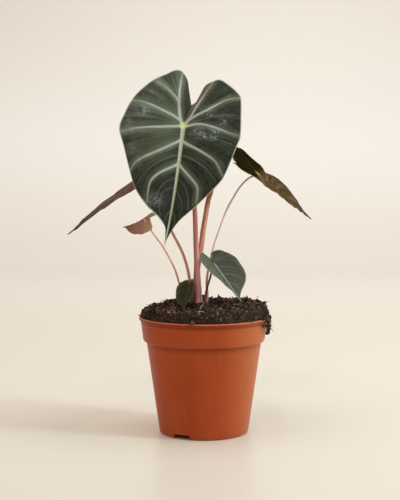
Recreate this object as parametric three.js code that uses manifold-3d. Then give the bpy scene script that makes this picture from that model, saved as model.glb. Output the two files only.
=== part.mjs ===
// Potted pink dragon alocasia: a young aroid with heart-shaped, pale-veined leaves on pink leaf stalks.
// The stalks grow from a corm in crumbly soil, which fills a thin-walled nursery pot of moulded plastic.
// Millimetres, +Z up. The origin is the middle of the pot's foot, on the surface that it stands on.
// The side that is seen from the front faces -Y, and +X is to the right.
import * as THREE from "three";
import { mergeVertices } from "three/addons/utils/BufferGeometryUtils.js";
import Module from "manifold-3d";

const wasm = await Module();
wasm.setup();

// Sizes of the pot, a round nursery pot of 12 cm.
const rimRadius = 60;
const potHeight = 108.8;
const bandHeight = 22.4;
const bandFootRadius = 56.8;
const wallTopRadius = 53.6;
const footRadius = 41.5;
const wallThickness = 1.2;
const floorThickness = 1.6;
const raisedFloor = 2.0;
const floorBossRadius = 16;
const footRingRadius = 36;
const drainSlots = 3;
const slotWidth = 17.2;
const slotHeight = 3.4;
const slotInnerRadius = 31;
const slotTurn = 240.4;
const floorHoles = 6;
const floorHoleRadius = 3.5;
const floorHolePlace = 25;

// Sizes of the soil.
const soilShoulder = 8.2;
const soilCrown = 3.2;
const soilLeanRight = 1.9;
const soilLeftSlope = 5;
const soilRelief = 1.6;
const crumbCount = 58;
const crumbSizes = [2.1, 3.5];
const overhangRadius = 59.6;
const hollowPlace = [-20, -33];
const hollowRadius = 15;
const hollowDepth = 5;

// Sizes of the corm, from which all the stalks grow.
const cormPlace = [-7, 1, 88];
const cormRadii = [13, 12, 13];
const rootCount = 6;
const rootRadius = 1.5;
const rootSteps = 5;

// Clearance between touching pieces, and the number of facets round the pot, the soil and a thin stalk.
const gap = 0.3;
const aroundSteps = 46;
const soilSteps = 42;
const stalkSides = 6;
const stepsPerPoint = 2.0;

// Blade thickness, the depth of the pale veins on the upper face and the height of their ribs below.
const bladeThickness = 0.9;
const veinGroove = 0.6;
const veinRib = 0.7;
const midribRib = 1.3;
const quilt = 0.9;

const colours = {
  pot: 0xb05a34,
  soil: 0x2a1c12,
  corm: 0x6b4a33,
  stalk: 0xc07a72,
  paleStalk: 0xc9907c,
  darkStalk: 0x6e3c34,
  mainLeaf: 0x38402c,
  leaf: 0x3b3c26,
  youngLeaf: 0x4d5844,
  brownLeaf: 0x7a6350,
};

const degrees = THREE.MathUtils.degToRad;

// Repeatable draws between 0 and 1.
function makeRandom(seed) {
  let state = seed;
  return () => {
    state = (Math.imul(state, 1664525) + 1013904223) >>> 0;
    return state / 4294967296;
  };
}

// A solid from a closed geometry: its doubles are merged, its empty triangles dropped, its faces turned out.
function toSolid(geometry) {
  const bare = new THREE.BufferGeometry();
  bare.setAttribute("position", geometry.getAttribute("position"));
  bare.setIndex(geometry.getIndex());
  const merged = mergeVertices(bare, 1e-4);
  const corners = [];
  const index = merged.getIndex().array;
  for (let i = 0; i < index.length; i += 3) {
    const [a, b, c] = [index[i], index[i + 1], index[i + 2]];
    if (a !== b && b !== c && c !== a) {
      corners.push(a, b, c);
    }
  }
  const vertProperties = new Float32Array(merged.getAttribute("position").array);
  const make = (list) => {
    const mesh = new wasm.Mesh({ numProp: 3, vertProperties, triVerts: new Uint32Array(list) });
    return new wasm.Manifold(mesh);
  };
  const solid = make(corners);
  if (solid.volume() > 0) {
    return solid;
  }
  return make(corners.map((corner, i) => corners[i % 3 === 0 ? i : i % 3 === 1 ? i + 1 : i - 1]));
}

// The largest body of a solid, without loose scraps.
function largestBody(solid) {
  return solid.decompose().reduce((best, body) => (body.volume() > best.volume() ? body : best));
}

// A named mesh of one solid, in its own colour.
function piece(name, solid, color, roughness) {
  const mesh = solid.getMesh();
  const geometry = new THREE.BufferGeometry();
  geometry.setAttribute("position", new THREE.BufferAttribute(new Float32Array(mesh.vertProperties), 3));
  geometry.setIndex(new THREE.BufferAttribute(new Uint32Array(mesh.triVerts), 1));
  geometry.computeVertexNormals();
  const material = new THREE.MeshStandardMaterial({ color, roughness, metalness: 0 });
  const made = new THREE.Mesh(geometry, material);
  made.name = name;
  return made;
}

// A profile of [radius, height] points turned round the vertical axis.
function turned(profile) {
  const points = profile.map(([radius, height]) => new THREE.Vector2(radius, height));
  return new THREE.LatheGeometry(points, aroundSteps).rotateX(Math.PI / 2);
}

// The pot's wall lines: the outer radius and the inner radius at a height.
const bandFoot = potHeight - bandHeight;

function outerRadius(z) {
  if (z >= bandFoot) {
    return THREE.MathUtils.mapLinear(z, bandFoot, potHeight, bandFootRadius, rimRadius);
  }
  return THREE.MathUtils.mapLinear(z, 0, bandFoot, footRadius, wallTopRadius);
}

function innerRadius(z) {
  return outerRadius(z) - wallThickness;
}

// The pot: a tapering wall, a wider band under the rim with a small lip, and a floor with a raised ring.
function potSolid() {
  const lip = 0.5;
  const step = 1.6;
  const profile = [
    [0, 0],
    [floorBossRadius, 0],
    [floorBossRadius + 1.5, raisedFloor],
    [footRingRadius - 1.5, raisedFloor],
    [footRingRadius, 0],
    [footRadius - 1.2, 0],
    [outerRadius(1.4), 1.4],
    [wallTopRadius, bandFoot - 1.2],
    [bandFootRadius - 0.6, bandFoot - 0.4],
    [bandFootRadius, bandFoot + 0.8],
    [outerRadius(potHeight - 3.2), potHeight - 3.2],
    [rimRadius + lip - 0.4, potHeight - 2.4],
    [rimRadius + lip - 0.4, potHeight - 0.5],
    [rimRadius - 0.3, potHeight],
    [rimRadius - wallThickness, potHeight - 0.2],
    [innerRadius(bandFoot + step), bandFoot + step],
    [innerRadius(bandFoot - step), bandFoot - step],
    [innerRadius(raisedFloor + floorThickness), raisedFloor + floorThickness],
    [0, raisedFloor + floorThickness],
  ];
  let solid = toSolid(turned(profile));
  const slotLength = footRadius + 4 - slotInnerRadius;
  for (let i = 0; i < drainSlots; i += 1) {
    const slot = new THREE.BoxGeometry(slotLength, slotWidth, slotHeight * 2 + floorThickness * 2);
    slot.translate(slotInnerRadius + slotLength / 2, 0, 0);
    slot.rotateZ(degrees(slotTurn + (i * 360) / drainSlots));
    solid = solid.subtract(toSolid(slot));
  }
  for (let i = 0; i < floorHoles; i += 1) {
    const hole = new THREE.CylinderGeometry(floorHoleRadius, floorHoleRadius, 10, 12).rotateX(Math.PI / 2);
    hole.translate(floorHolePlace, 0, raisedFloor);
    hole.rotateZ(degrees(slotTurn + 30 + (i * 360) / floorHoles));
    solid = solid.subtract(toSolid(hole));
  }
  return solid;
}

// A ring a gap larger than the rim band all round, which the soil is cut back by.
function rimClearance() {
  const low = bandFoot - 4;
  const profile = [
    [innerRadius(low) - gap, low],
    [outerRadius(bandFoot) + gap, low],
    [rimRadius + gap + 0.1, potHeight - 3],
    [rimRadius + gap + 0.1, potHeight + gap],
    [rimRadius - wallThickness - gap, potHeight + gap],
    [innerRadius(bandFoot + 1.6) - gap, bandFoot + 1.6],
    [innerRadius(bandFoot - 1.6) - gap, bandFoot - 1.6],
    [innerRadius(low) - gap, low],
  ];
  return toSolid(turned(profile));
}

// A geometry from a flat list of coordinates and the corners of its triangles.
function indexedGeometry(positions, corners) {
  const geometry = new THREE.BufferGeometry();
  geometry.setAttribute("position", new THREE.Float32BufferAttribute(positions, 3));
  geometry.setIndex(corners);
  return geometry;
}

// A closed grid solid: rings of equal length, each joined to the next, with a fan over both ends.
function ringsSolid(rings) {
  const sides = rings[0].length;
  const positions = rings.flat(2);
  const corners = [];
  for (let i = 0; i + 1 < rings.length; i += 1) {
    for (let j = 0; j < sides; j += 1) {
      const a = i * sides + j;
      const b = i * sides + ((j + 1) % sides);
      corners.push(a, b, b + sides, a, b + sides, a + sides);
    }
  }
  const cap = (ring, flip) => {
    const centre = [0, 1, 2].map((k) => rings[ring].reduce((sum, point) => sum + point[k], 0) / sides);
    positions.push(...centre);
    const middle = positions.length / 3 - 1;
    for (let j = 0; j < sides; j += 1) {
      const a = ring * sides + j;
      const b = ring * sides + ((j + 1) % sides);
      corners.push(...(flip ? [middle, b, a] : [middle, a, b]));
    }
  };
  cap(0, true);
  cap(rings.length - 1, false);
  return toSolid(indexedGeometry(positions, corners));
}

// A tapering round stalk through points, each [x, y, z, radius]. Grow makes it thicker all round.
function stalkSolid(points, sides, steps, grow = 0) {
  const places = points.map(([x, y, z]) => new THREE.Vector3(x, y, z));
  const curve = new THREE.CatmullRomCurve3(places, false, "centripetal");
  const frames = curve.computeFrenetFrames(steps, false);
  const rings = [];
  for (let i = 0; i <= steps; i += 1) {
    const t = i / steps;
    const centre = curve.getPoint(t);
    const along = t * (points.length - 1);
    const before = Math.min(Math.floor(along), points.length - 2);
    const radius = THREE.MathUtils.lerp(points[before][3], points[before + 1][3], along - before) + grow;
    const ring = [];
    for (let j = 0; j < sides; j += 1) {
      const angle = (2 * Math.PI * j) / sides;
      const out = new THREE.Vector3()
        .addScaledVector(frames.normals[i], Math.cos(angle) * radius)
        .addScaledVector(frames.binormals[i], Math.sin(angle) * radius);
      ring.push(centre.clone().add(out).toArray());
    }
    rings.push(ring);
  }
  return ringsSolid(rings);
}

// The curves of a blade from the midrib to the margin, from the notch behind the stalk round to the tip.
// Each is [start along the midrib, bend across, bend along, margin across, margin along, has a vein].
// Across is in half widths and along in blade lengths, both measured from the stalk; behind it is negative.
const bladeCurves = [
  [0, 0, -0.09, 0, -0.18, 0],
  [0, 0.06, -0.14, 0.08, -0.28, 0],
  [0, 0.1, -0.2, 0.12, -0.4, 0],
  [0, 0.13, -0.22, 0.22, -0.47, 1],
  [0, 0.18, -0.24, 0.34, -0.47, 0],
  [0, 0.24, -0.22, 0.5, -0.43, 0],
  [0, 0.26, -0.2, 0.64, -0.36, 1],
  [0, 0.36, -0.17, 0.8, -0.26, 0],
  [0, 0.44, -0.15, 0.91, -0.14, 1],
  [0, 0.5, -0.06, 0.98, -0.02, 0],
  [0, 0.52, 0.02, 1, 0.1, 1],
  [0.07, 0.55, 0.14, 0.93, 0.24, 0],
  [0.15, 0.57, 0.27, 0.8, 0.4, 1],
  [0.25, 0.52, 0.36, 0.64, 0.54, 0],
  [0.35, 0.44, 0.42, 0.46, 0.66, 1],
  [0.44, 0.32, 0.53, 0.29, 0.75, 0],
  [0.53, 0.2, 0.64, 0.16, 0.82, 1],
  [0.7, 0.09, 0.8, 0.07, 0.89, 0],
  [0.86, 0.03, 0.93, 0.02, 0.95, 0],
  [1, 0, 1, 0, 1, 0],
];

// The two halves of the large leaf, whose curves are in millimetres, left and right as seen from the front.
const mainLeftCurves = [
  [0, -2.5, -10, -5, -21, 0],
  [0, 0, -16, -2, -32.5, 0],
  [0, 3.5, -24, 2, -48.5, 0],
  [0, 6.5, -27, 7.5, -55.5, 1],
  [0, 7.5, -30, 14, -55, 0],
  [0, 8, -29, 21, -50.5, 0],
  [0, 8, -27, 29, -44.5, 1],
  [0, 16, -24, 41, -31.5, 0],
  [0, 24, -18.5, 50, -18.5, 1],
  [0, 28, -6, 55, -3, 0],
  [0, 30, 5, 57.5, 10.5, 1],
  [0.07, 32, 17, 51.5, 26.5, 0],
  [0.145, 34, 32, 43.8, 47, 1],
  [0.245, 31, 41, 36, 64.5, 0],
  [0.345, 26.5, 46, 25, 77.5, 1],
  [0.44, 19, 56, 17.5, 83.5, 0],
  [0.53, 13, 65, 11, 89, 1],
  [0.7, 8, 83, 5.8, 96, 0],
  [0.86, 5, 100, 5, 104, 0],
  [1, 5, 113, 5, 113, 0],
];
const mainRightCurves = [
  [0, 2.5, -10, 5, -21, 0],
  [0, 6, -15, 10, -25.5, 0],
  [0, 7.5, -20, 12.5, -34.5, 0],
  [0, 9, -22, 16, -42.5, 0],
  [0, 10, -19.5, 24, -47.8, 1],
  [0, 13, -20, 30, -48.2, 0],
  [0, 16, -19, 38, -43.7, 0],
  [0, 19, -18.5, 45, -38, 0],
  [0, 24, -22, 49.5, -31, 1],
  [0, 25, -12, 51.5, -14, 0],
  [0, 25, -6, 52.8, 5.5, 1],
  [0.07, 28, 10, 50.5, 16, 0],
  [0.145, 30, 26, 43, 42.5, 1],
  [0.245, 27, 36, 37, 53.5, 0],
  [0.345, 22, 50, 20, 74, 1],
  [0.44, 15, 60, 12.5, 82, 0],
  [0.53, 9, 70, 6.5, 88.5, 1],
  [0.7, 4, 85, 1, 97, 0],
  [0.86, -1, 100, -3, 106, 0],
  [1, -5, 113, -5, 113, 0],
];

// The lower half of the small left blade, whose lobe hangs down to a corner.
const smallLeftLowerCurves = [
  [0, 0, -1.4742, 0, -2.9484, 0],
  [0, 0.9, -2.3, 1.2, -4.6, 0.5],
  [0, 1.4, -3.3, 1.7, -6.6, 0.9],
  [0, 1.9, -3.6, 3.2, -7.7, 1],
  [0, 2.8, -4.2, 5.6, -8.2, 0.3],
  [0, 4.2, -4.6, 9.5, -9.4, 0.3],
  [0, 6, -4.6, 14.5, -10.4, 1],
  [0, 8, -4.2, 20.5, -10.8, 0.3],
  [0, 8.8, -3, 19.5, -6, 1],
  [0, 8.2, -1.4, 16.5, -1, 0],
  [0, 7.6, 0.4, 15.2, 3, 1],
  [0.07, 7.9, 3.4, 13.8, 6.2, 0],
  [0.15, 8.2, 6.7, 11.8, 10.4, 1],
  [0.25, 7.5, 9.4, 9.4, 14.2, 0],
  [0.35, 6.3, 10.9, 7, 17.6, 1],
  [0.44, 4.6, 13.8, 4.6, 19.9, 0],
  [0.53, 2.9, 16.6, 2.5, 21.6, 1],
  [0.7, 1.3, 20.8, 1, 23.2, 0],
  [0.86, 0.4, 24.2, 0.3, 24.7, 0],
  [1, 0, 26, 0, 26, 0],
];

// The right half of the small front blade, fuller towards the tip than at its lobe.
const smallFrontRightCurves = [
  [0, 0, -0.2934, 0, -0.5868, 0],
  [0, 0.3, -0.6, 0.5, -1.2, 0],
  [0, 0.5, -0.9, 0.9, -1.9, 0],
  [0, 0.8, -1.2, 1.4, -2.4, 1],
  [0, 1.2, -1, 2.2, -2, 0],
  [0, 1.6, -0.6, 3, -1.3, 0],
  [0, 1.9, -0.3, 3.7, -0.5, 1],
  [0, 2.2, 0.2, 4.2, 0.6, 0],
  [0, 2.5, 0.7, 4.8, 2, 1],
  [0, 2.9, 1.4, 5.5, 3.8, 0],
  [0, 3.3, 2.4, 6.2, 5.8, 1],
  [0.07, 3.9, 4.9, 6.9, 8.6, 0],
  [0.15, 4.4, 8.6, 7.6, 12.6, 1],
  [0.25, 4.6, 11.6, 7.9, 16.4, 0],
  [0.35, 4.5, 13.6, 7.3, 19.8, 1],
  [0.44, 3.6, 17, 5.3, 23.6, 0],
  [0.53, 2.2, 20.6, 3, 25.9, 1],
  [0.7, 1.1, 25.9, 1.1, 28.6, 0],
  [0.86, 0.45, 30.2, 0.35, 30.8, 0],
  [1, 0, 32.6, 0, 32.6, 0],
];

// The row of a table at a place between its rows, by a smooth curve through them.
function rowAt(table, place) {
  const last = table.length - 1;
  const before = Math.min(Math.floor(place), last - 1);
  const f = place - before;
  const row = (i) => table[Math.max(0, Math.min(last, i))];
  const [p, q, r, s] = [row(before - 1), row(before), row(before + 1), row(before + 2)];
  return q.map((value, k) => {
    const slope = (r[k] - p[k]) * f;
    const bend = (2 * p[k] - 5 * value + 4 * r[k] - s[k]) * f * f;
    const twist = (3 * value - p[k] - 3 * r[k] + s[k]) * f * f * f;
    return 0.5 * (2 * value + slope + bend + twist);
  });
}

// The scaled table of one half. Asymmetry widens one half and narrows the other; a filled notch is shallow.
function halfCurves(leaf, side) {
  const own = leaf.halves?.[side > 0 ? 0 : 1];
  if (own) {
    return own;
  }
  const halfWidth = leaf.halfWidth * (1 + side * (leaf.asymmetry ?? 0));
  const lobe = leaf.lobe ?? 1;
  const filled = leaf.filledNotch ?? 0;
  const alongScale = (value) => value * leaf.length * (value < 0 ? lobe : 1);
  const raised = bladeCurves.map((row, i) => {
    const edge = i < 2 ? THREE.MathUtils.lerp(row[4], bladeCurves[2][4], filled) : row[4];
    return [...row.slice(0, 4), edge, row[5]];
  });
  return raised.map(([root, bendX, bendY, edgeX, edgeY, vein]) => [
    root,
    bendX * halfWidth,
    alongScale(bendY),
    edgeX * halfWidth,
    alongScale(edgeY),
    vein,
  ]);
}

// The leaf's own directions: along to the tip, normal out of the upper face, and across.
function leafAxes(leaf) {
  const heading = degrees(leaf.heading);
  const rise = degrees(leaf.rise);
  const flat = Math.cos(rise);
  const along = new THREE.Vector3(Math.sin(heading) * flat, Math.cos(heading) * flat, Math.sin(rise));
  const up = new THREE.Vector3(0, 0, 1).addScaledVector(along, -along.z).normalize();
  const sideways = new THREE.Vector3().crossVectors(along, up);
  const roll = degrees(leaf.roll);
  const normal = up.multiplyScalar(Math.cos(roll)).addScaledVector(sideways, Math.sin(roll));
  const across = new THREE.Vector3().crossVectors(along, normal);
  return { across, along, normal };
}

// A point of a leaf: the flat blade is folded along its midrib, its sides curl down, and the midrib arches.
function leafPoint(leaf, axes, x, y, raise) {
  const sway = leaf.sway * THREE.MathUtils.clamp(y / leaf.length, 0, 1) ** 3;
  const fromMidrib = Math.abs(x - sway);
  const height = leaf.fold * fromMidrib - (leaf.curl * fromMidrib ** 2) / leaf.halfWidth + raise;
  const bend = degrees(y >= 0 ? leaf.tipArch : leaf.lobeArch) / leaf.length;
  const turn = bend * y;
  const forward = Math.sin(turn) / bend + Math.sin(turn) * height;
  const lift = -(1 - Math.cos(turn)) / bend + Math.cos(turn) * height;
  return new THREE.Vector3(...leaf.at)
    .addScaledVector(axes.across, x)
    .addScaledVector(axes.along, forward)
    .addScaledVector(axes.normal, lift)
    .toArray();
}

// The rise of one half's margin at a height along the leaf, from the ripples given as [side, middle, rise, reach].
function rippleAt(leaf, side, y) {
  const own = (leaf.ripples ?? []).filter(([half]) => half === side);
  return own.reduce((sum, [, middle, rise, reach]) => sum + rise * Math.exp(-(((y - middle) / reach) ** 2)), 0);
}

// A closed blade. Each half is a grid of curves, split alike on both faces, with a wall along the margin.
// Veins are sunk in the upper face and stand out of the lower one, and the blade rises between them.
function bladeSolid(leaf, grow = 0) {
  const axes = leafAxes(leaf);
  const { columns, rows } = leaf;
  const positions = [];
  const corners = [];
  for (const side of [1, -1]) {
    const table = halfCurves(leaf, side);
    const first = positions.length / 3;
    const faceSize = (columns + 1) * (rows + 1);
    const upper = [];
    const lower = [];
    for (let i = 0; i <= columns; i += 1) {
      const place = (i / columns) * (table.length - 1);
      const [root, bendX, bendY, edgeX, edgeY, veinRow] = rowAt(table, place);
      const vein = THREE.MathUtils.clamp(veinRow, 0, 1);
      const nearTip = Math.min(1, (table.length - 1 - place) / 2);
      const wavy = leaf.wave * nearTip * Math.min(1, place / 2);
      for (let j = 0; j <= rows; j += 1) {
        const b = j / rows;
        const start = THREE.MathUtils.clamp(root, 0, 1);
        const weights = [(1 - b) ** 2, 2 * b * (1 - b), b * b];
        const x = weights[0] * side * leaf.sway * start ** 3 + weights[1] * bendX + weights[2] * edgeX;
        const y = weights[0] * start * leaf.length + weights[1] * bendY + weights[2] * edgeY;
        const fade = leaf.relief * nearTip * Math.min(1, 4 * b * (1 - b) + 0.25 * b);
        const ripple = nearTip * rippleAt(leaf, side, y);
        const wave = b * b * (wavy * Math.sin(place * (1.9 + 0.2 * side)) + ripple);
        const top = wave + fade * (quilt * (1 - vein) - veinGroove * vein);
        const rib = Math.max(midribRib * leaf.relief * nearTip * (1 - 4 * b), veinRib * vein * fade, 0);
        upper.push(...leafPoint(leaf, axes, side * x, y, top + grow));
        lower.push(...leafPoint(leaf, axes, side * x, y, top - bladeThickness - rib - grow));
      }
    }
    positions.push(...upper, ...lower);
    const quad = (a, b, c, d) => corners.push(...(side > 0 ? [a, b, c, a, c, d] : [a, c, b, a, d, c]));
    for (let i = 0; i < columns; i += 1) {
      for (let j = 0; j < rows; j += 1) {
        const a = first + i * (rows + 1) + j;
        quad(a, a + 1, a + rows + 2, a + rows + 1);
        corners.push(...lowerQuad(a + faceSize, rows, side));
      }
      const edge = first + i * (rows + 1) + rows;
      quad(edge, edge + faceSize, edge + faceSize + rows + 1, edge + rows + 1);
    }
  }
  return toSolid(indexedGeometry(positions, corners));
}

// The two triangles of a lower-face cell, split along the same diagonal as the cell above and turned over.
function lowerQuad(a, rows, side) {
  const [b, c, d] = [a + 1, a + rows + 2, a + rows + 1];
  return side > 0 ? [a, c, b, a, d, c] : [a, b, c, a, c, d];
}

// The leaves. At is where the stalk meets the blade; heading is the way the tip points, in degrees from
// straight back towards the right; rise is its slope, and roll turns the upper face about the midrib.
const leaves = {
  leaf_main: {
    at: [-18.7, -14, 285],
    heading: 198,
    rise: -68.9,
    roll: -16.9,
    length: 114,
    halfWidth: 55,
    halves: [mainLeftCurves, mainRightCurves],
    fold: 0.22,
    curl: 0.16,
    sway: 5,
    tipArch: 18,
    lobeArch: 26,
    wave: 0.8,
    relief: 1,
    columns: 38,
    rows: 7,
    color: colours.mainLeaf,
  },
  leaf_back: {
    at: [-3.6, 34, 268.8],
    heading: -45,
    rise: -45,
    roll: -20,
    length: 88,
    halfWidth: 38.7,
    lobe: 0.85,
    fold: 0.2,
    curl: 0.15,
    sway: 2,
    tipArch: 30,
    lobeArch: 40,
    wave: 0.6,
    relief: 1,
    columns: 19,
    rows: 6,
    color: colours.leaf,
  },
  leaf_right: {
    at: [51.8, 24, 240.4],
    heading: 45.5,
    rise: -27.6,
    roll: 36.8,
    length: 90.5,
    halfWidth: 38.2,
    lobe: 0.95,
    filledNotch: 1,
    ripples: [
      [-1, 29, -3.8, 6.5],
      [-1, 57, 3.4, 14],
    ],
    fold: 0.132,
    curl: 0.055,
    sway: 2.5,
    tipArch: 3.3,
    lobeArch: 34,
    wave: 0.5,
    relief: 0.9,
    columns: 19,
    rows: 6,
    color: colours.leaf,
  },
  leaf_left: {
    at: [-52.4, 31, 241.8],
    heading: -67.2,
    rise: -32.3,
    roll: -9.7,
    length: 108.5,
    halfWidth: 46.2,
    lobe: 0.62,
    fold: 0.11,
    curl: 0.187,
    sway: 3.1,
    tipArch: 3.7,
    lobeArch: 51.9,
    wave: 0.15,
    relief: 0.9,
    columns: 19,
    rows: 6,
    color: colours.brownLeaf,
  },
  leaf_small_left: {
    at: [-54.3, -14, 200.1],
    heading: -52.9,
    rise: -28.9,
    roll: 147,
    length: 26,
    halfWidth: 14.4,
    halves: [smallLeftLowerCurves],
    lobe: 0.63,
    fold: 0.44,
    curl: 0.006,
    sway: -0.3,
    tipArch: 21,
    lobeArch: 59,
    wave: 0.3,
    relief: 0.45,
    columns: 19,
    rows: 5,
    color: colours.brownLeaf,
  },
  leaf_small_right: {
    at: [7.8, -14, 160.7],
    heading: 136.4,
    rise: -40.6,
    roll: 1.5,
    length: 49.8,
    halfWidth: 25.5,
    asymmetry: -0.297,
    lobe: 0.457,
    fold: 0.438,
    curl: 0.359,
    sway: 0.75,
    tipArch: 2.8,
    lobeArch: 21.6,
    wave: 0.3,
    relief: 0.5,
    columns: 19,
    rows: 5,
    color: colours.youngLeaf,
  },
  leaf_small_front: {
    at: [-12.9, -12, 142.5],
    heading: 200.4,
    rise: -46.8,
    roll: 20.4,
    length: 32.6,
    halfWidth: 13.3,
    asymmetry: 0.3,
    halves: [undefined, smallFrontRightCurves],
    lobe: 0.1,
    fold: 0.315,
    curl: 0.37,
    sway: -0.9,
    tipArch: 10,
    lobeArch: 45.8,
    wave: 0.2,
    relief: 0.4,
    columns: 19,
    rows: 5,
    color: colours.leaf,
  },
};

// The leaf stalks from the corm up to their blades. Each point is [x, y, z, radius].
const mainStalk = [
  [-7, 1, 97, 3.4],
  [-6.5, 0, 109, 4.8],
  [-6.5, 0, 121, 4.7],
  [-6.6, 0, 133, 4.1],
  [-6.6, 0, 147, 3.1],
  [-6.6, 0, 159, 2.7],
  [-7.6, 0, 180, 2.4],
  [-8.6, 0, 209, 2.2],
  [-11, 1, 243, 2.0],
  [-14.7, -1, 270, 2.0],
  [-18.2, -9, 284, 2.1],
  [-18.9, -15, 286.5, 2.1],
];
const secondStalk = [
  [-6.6, 0, 140, 2.2],
  [-5.8, 0.4, 155, 2.6],
  [-2.5, 2, 174, 2.5],
  [-0.9, 4, 187, 2.5],
  [1.4, 8, 200.7, 2.4],
  [4.1, 13, 216.5, 2.3],
  [7.1, 17, 226, 2.2],
  [8.5, 24, 245, 2.0],
  [3.5, 28, 261, 1.9],
  [-3.4, 33, 268.5, 1.8],
  [-4.5, 34.8, 269.4, 1.8],
];
const sheathScale = [
  [-9.5, -1.5, 104, 2.2],
  [-10.4, -3.2, 114, 2.4],
  [-11.4, -4.6, 119, 1.9],
  [-12.6, -5.4, 123.5, 0.6],
];

const stalks = {
  stalk_right: {
    points: [
      [-0.5, 4, 97, 1.2],
      [2, 5, 109, 1.5],
      [2.6, 5, 120, 1.4],
      [3.1, 5, 129, 1.3],
      [2.6, 5, 140, 1.2],
      [4.3, 6, 153, 1.15],
      [9.4, 8, 173.5, 1.1],
      [14.1, 10, 187.3, 1.05],
      [22, 14, 208.2, 1.0],
      [27.5, 16, 218.3, 0.95],
      [33.9, 18, 228.4, 0.9],
      [40.1, 20.5, 235, 0.9],
      [45.2, 22.5, 238.4, 0.9],
      [51.2, 24, 239.8, 0.9],
      [52.6, 24.2, 240.9, 0.9],
    ],
    leaf: "leaf_right",
    color: colours.paleStalk,
  },
  stalk_left: {
    points: [
      [-11, 3.5, 97, 1.6],
      [-12, 4, 109, 1.8],
      [-12.2, 4.5, 120, 1.8],
      [-12.8, 5, 132, 1.6],
      [-13.8, 5.5, 144, 1.5],
      [-15.6, 6, 153, 1.45],
      [-18.6, 7, 163, 1.4],
      [-22.9, 8, 173, 1.4],
      [-29.8, 10, 186, 1.35],
      [-39.8, 15, 206, 1.3],
      [-48.6, 22.5, 225.5, 1.2],
      [-52.3, 29.6, 238.2, 1.2],
      [-52.7, 31.4, 242, 1.2],
    ],
    leaf: "leaf_left",
    color: colours.stalk,
  },
  stalk_small_left: {
    points: [
      [-14, 1.5, 97, 1.0],
      [-17.5, 5.5, 109, 1.2],
      [-18.8, 6.5, 119.2, 1.1],
      [-20.6, 6, 129.6, 1.0],
      [-23.5, 4.5, 139.7, 0.95],
      [-26.3, 2, 149.7, 0.9],
      [-30.3, -1.5, 159.3, 0.85],
      [-38.6, -9, 175, 0.8],
      [-46.3, -15.5, 186.2, 0.8],
      [-53, -19.5, 197.6, 0.8],
      [-54.5, -17, 200.2, 0.8],
      [-54.3, -13.5, 200.1, 0.8],
    ],
    leaf: "leaf_small_left",
    color: colours.stalk,
  },
  stalk_small_right: {
    points: [
      [-2, -3.6, 97, 0.9],
      [0, -5, 109, 1.2],
      [0.3, -5, 121.8, 1.2],
      [2.1, -5, 131.8, 1.1],
      [3.7, -5, 138.5, 1.0],
      [5.6, -5.6, 144.5, 0.95],
      [7.2, -8.5, 152, 0.9],
      [7.8, -12.8, 159, 0.9],
      [7.9, -14.6, 161.8, 0.9],
    ],
    leaf: "leaf_small_right",
    color: colours.darkStalk,
  },
  stalk_small_front: {
    points: [
      [-14.6, -3, 97, 0.9],
      [-15.6, -4, 109, 1.1],
      [-16, -4.5, 121, 1.0],
      [-15.7, -5.2, 131, 0.9],
      [-14.8, -7.2, 138, 0.85],
      [-13.4, -10, 141.4, 0.8],
      [-12.8, -12.1, 142.6, 0.8],
    ],
    leaf: "leaf_small_front",
    color: colours.darkStalk,
  },
};

// A thin stalk through its points, thicker all round by grow.
function thinStalk(points, grow) {
  return stalkSolid(points, stalkSides, Math.ceil(stepsPerPoint * points.length), grow);
}

// The solid of the joined stalks, thicker all round by grow.
function mainStalksSolid(grow) {
  return stalkSolid(mainStalk, 10, 26, grow)
    .add(stalkSolid(secondStalk, 8, 20, grow))
    .add(stalkSolid(sheathScale, 6, 5, grow));
}

// The corm, a rounded egg, with thick roots that run out and down into the soil.
function cormSolid(grow) {
  const egg = new THREE.SphereGeometry(1, 12, 8).rotateX(Math.PI / 2);
  egg.scale(cormRadii[0] + grow, cormRadii[1] + grow, cormRadii[2] + grow).translate(...cormPlace);
  let solid = toSolid(egg);
  const random = makeRandom(7);
  for (let i = 0; i < rootCount; i += 1) {
    const turn = (2 * Math.PI * (i + 0.6 * random())) / rootCount;
    const reach = 18 + 10 * random();
    const depth = 34 + 24 * random();
    const [x, y, z] = cormPlace;
    const at = (out, down, radius) => [x + Math.cos(turn) * out, y + Math.sin(turn) * out, z - down, radius];
    const near = [at(5, 2, rootRadius), at(15, 8, rootRadius)];
    const path = [...near, at(reach, depth * 0.6, 1.2), at(reach + 4, depth, 0.8)];
    solid = solid.add(stalkSolid(path, 5, rootSteps, grow));
  }
  return solid;
}

// The share by which a place lies to the left, which the heap's side draws in by.
function leftwards(x, y) {
  return Math.max(0, -x) / Math.max(Math.hypot(x, y), 1);
}

// The height of the soil's surface at a place: a flat heap, a little higher to the right, with a hollow under
// the small front leaf.
function soilHeight(x, y) {
  const out = Math.hypot(x, y) / overhangRadius;
  const fromHollow = Math.hypot(x - hollowPlace[0], y - hollowPlace[1]) / hollowRadius;
  const hollow = hollowDepth * Math.max(0, 1 - fromHollow * fromHollow);
  const lean = (soilLeanRight * x) / overhangRadius - 1.5 * Math.max(0, -x / overhangRadius) ** 3;
  return potHeight + soilShoulder + lean + soilCrown * Math.max(0, 1 - out ** 4) - hollow;
}

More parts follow.
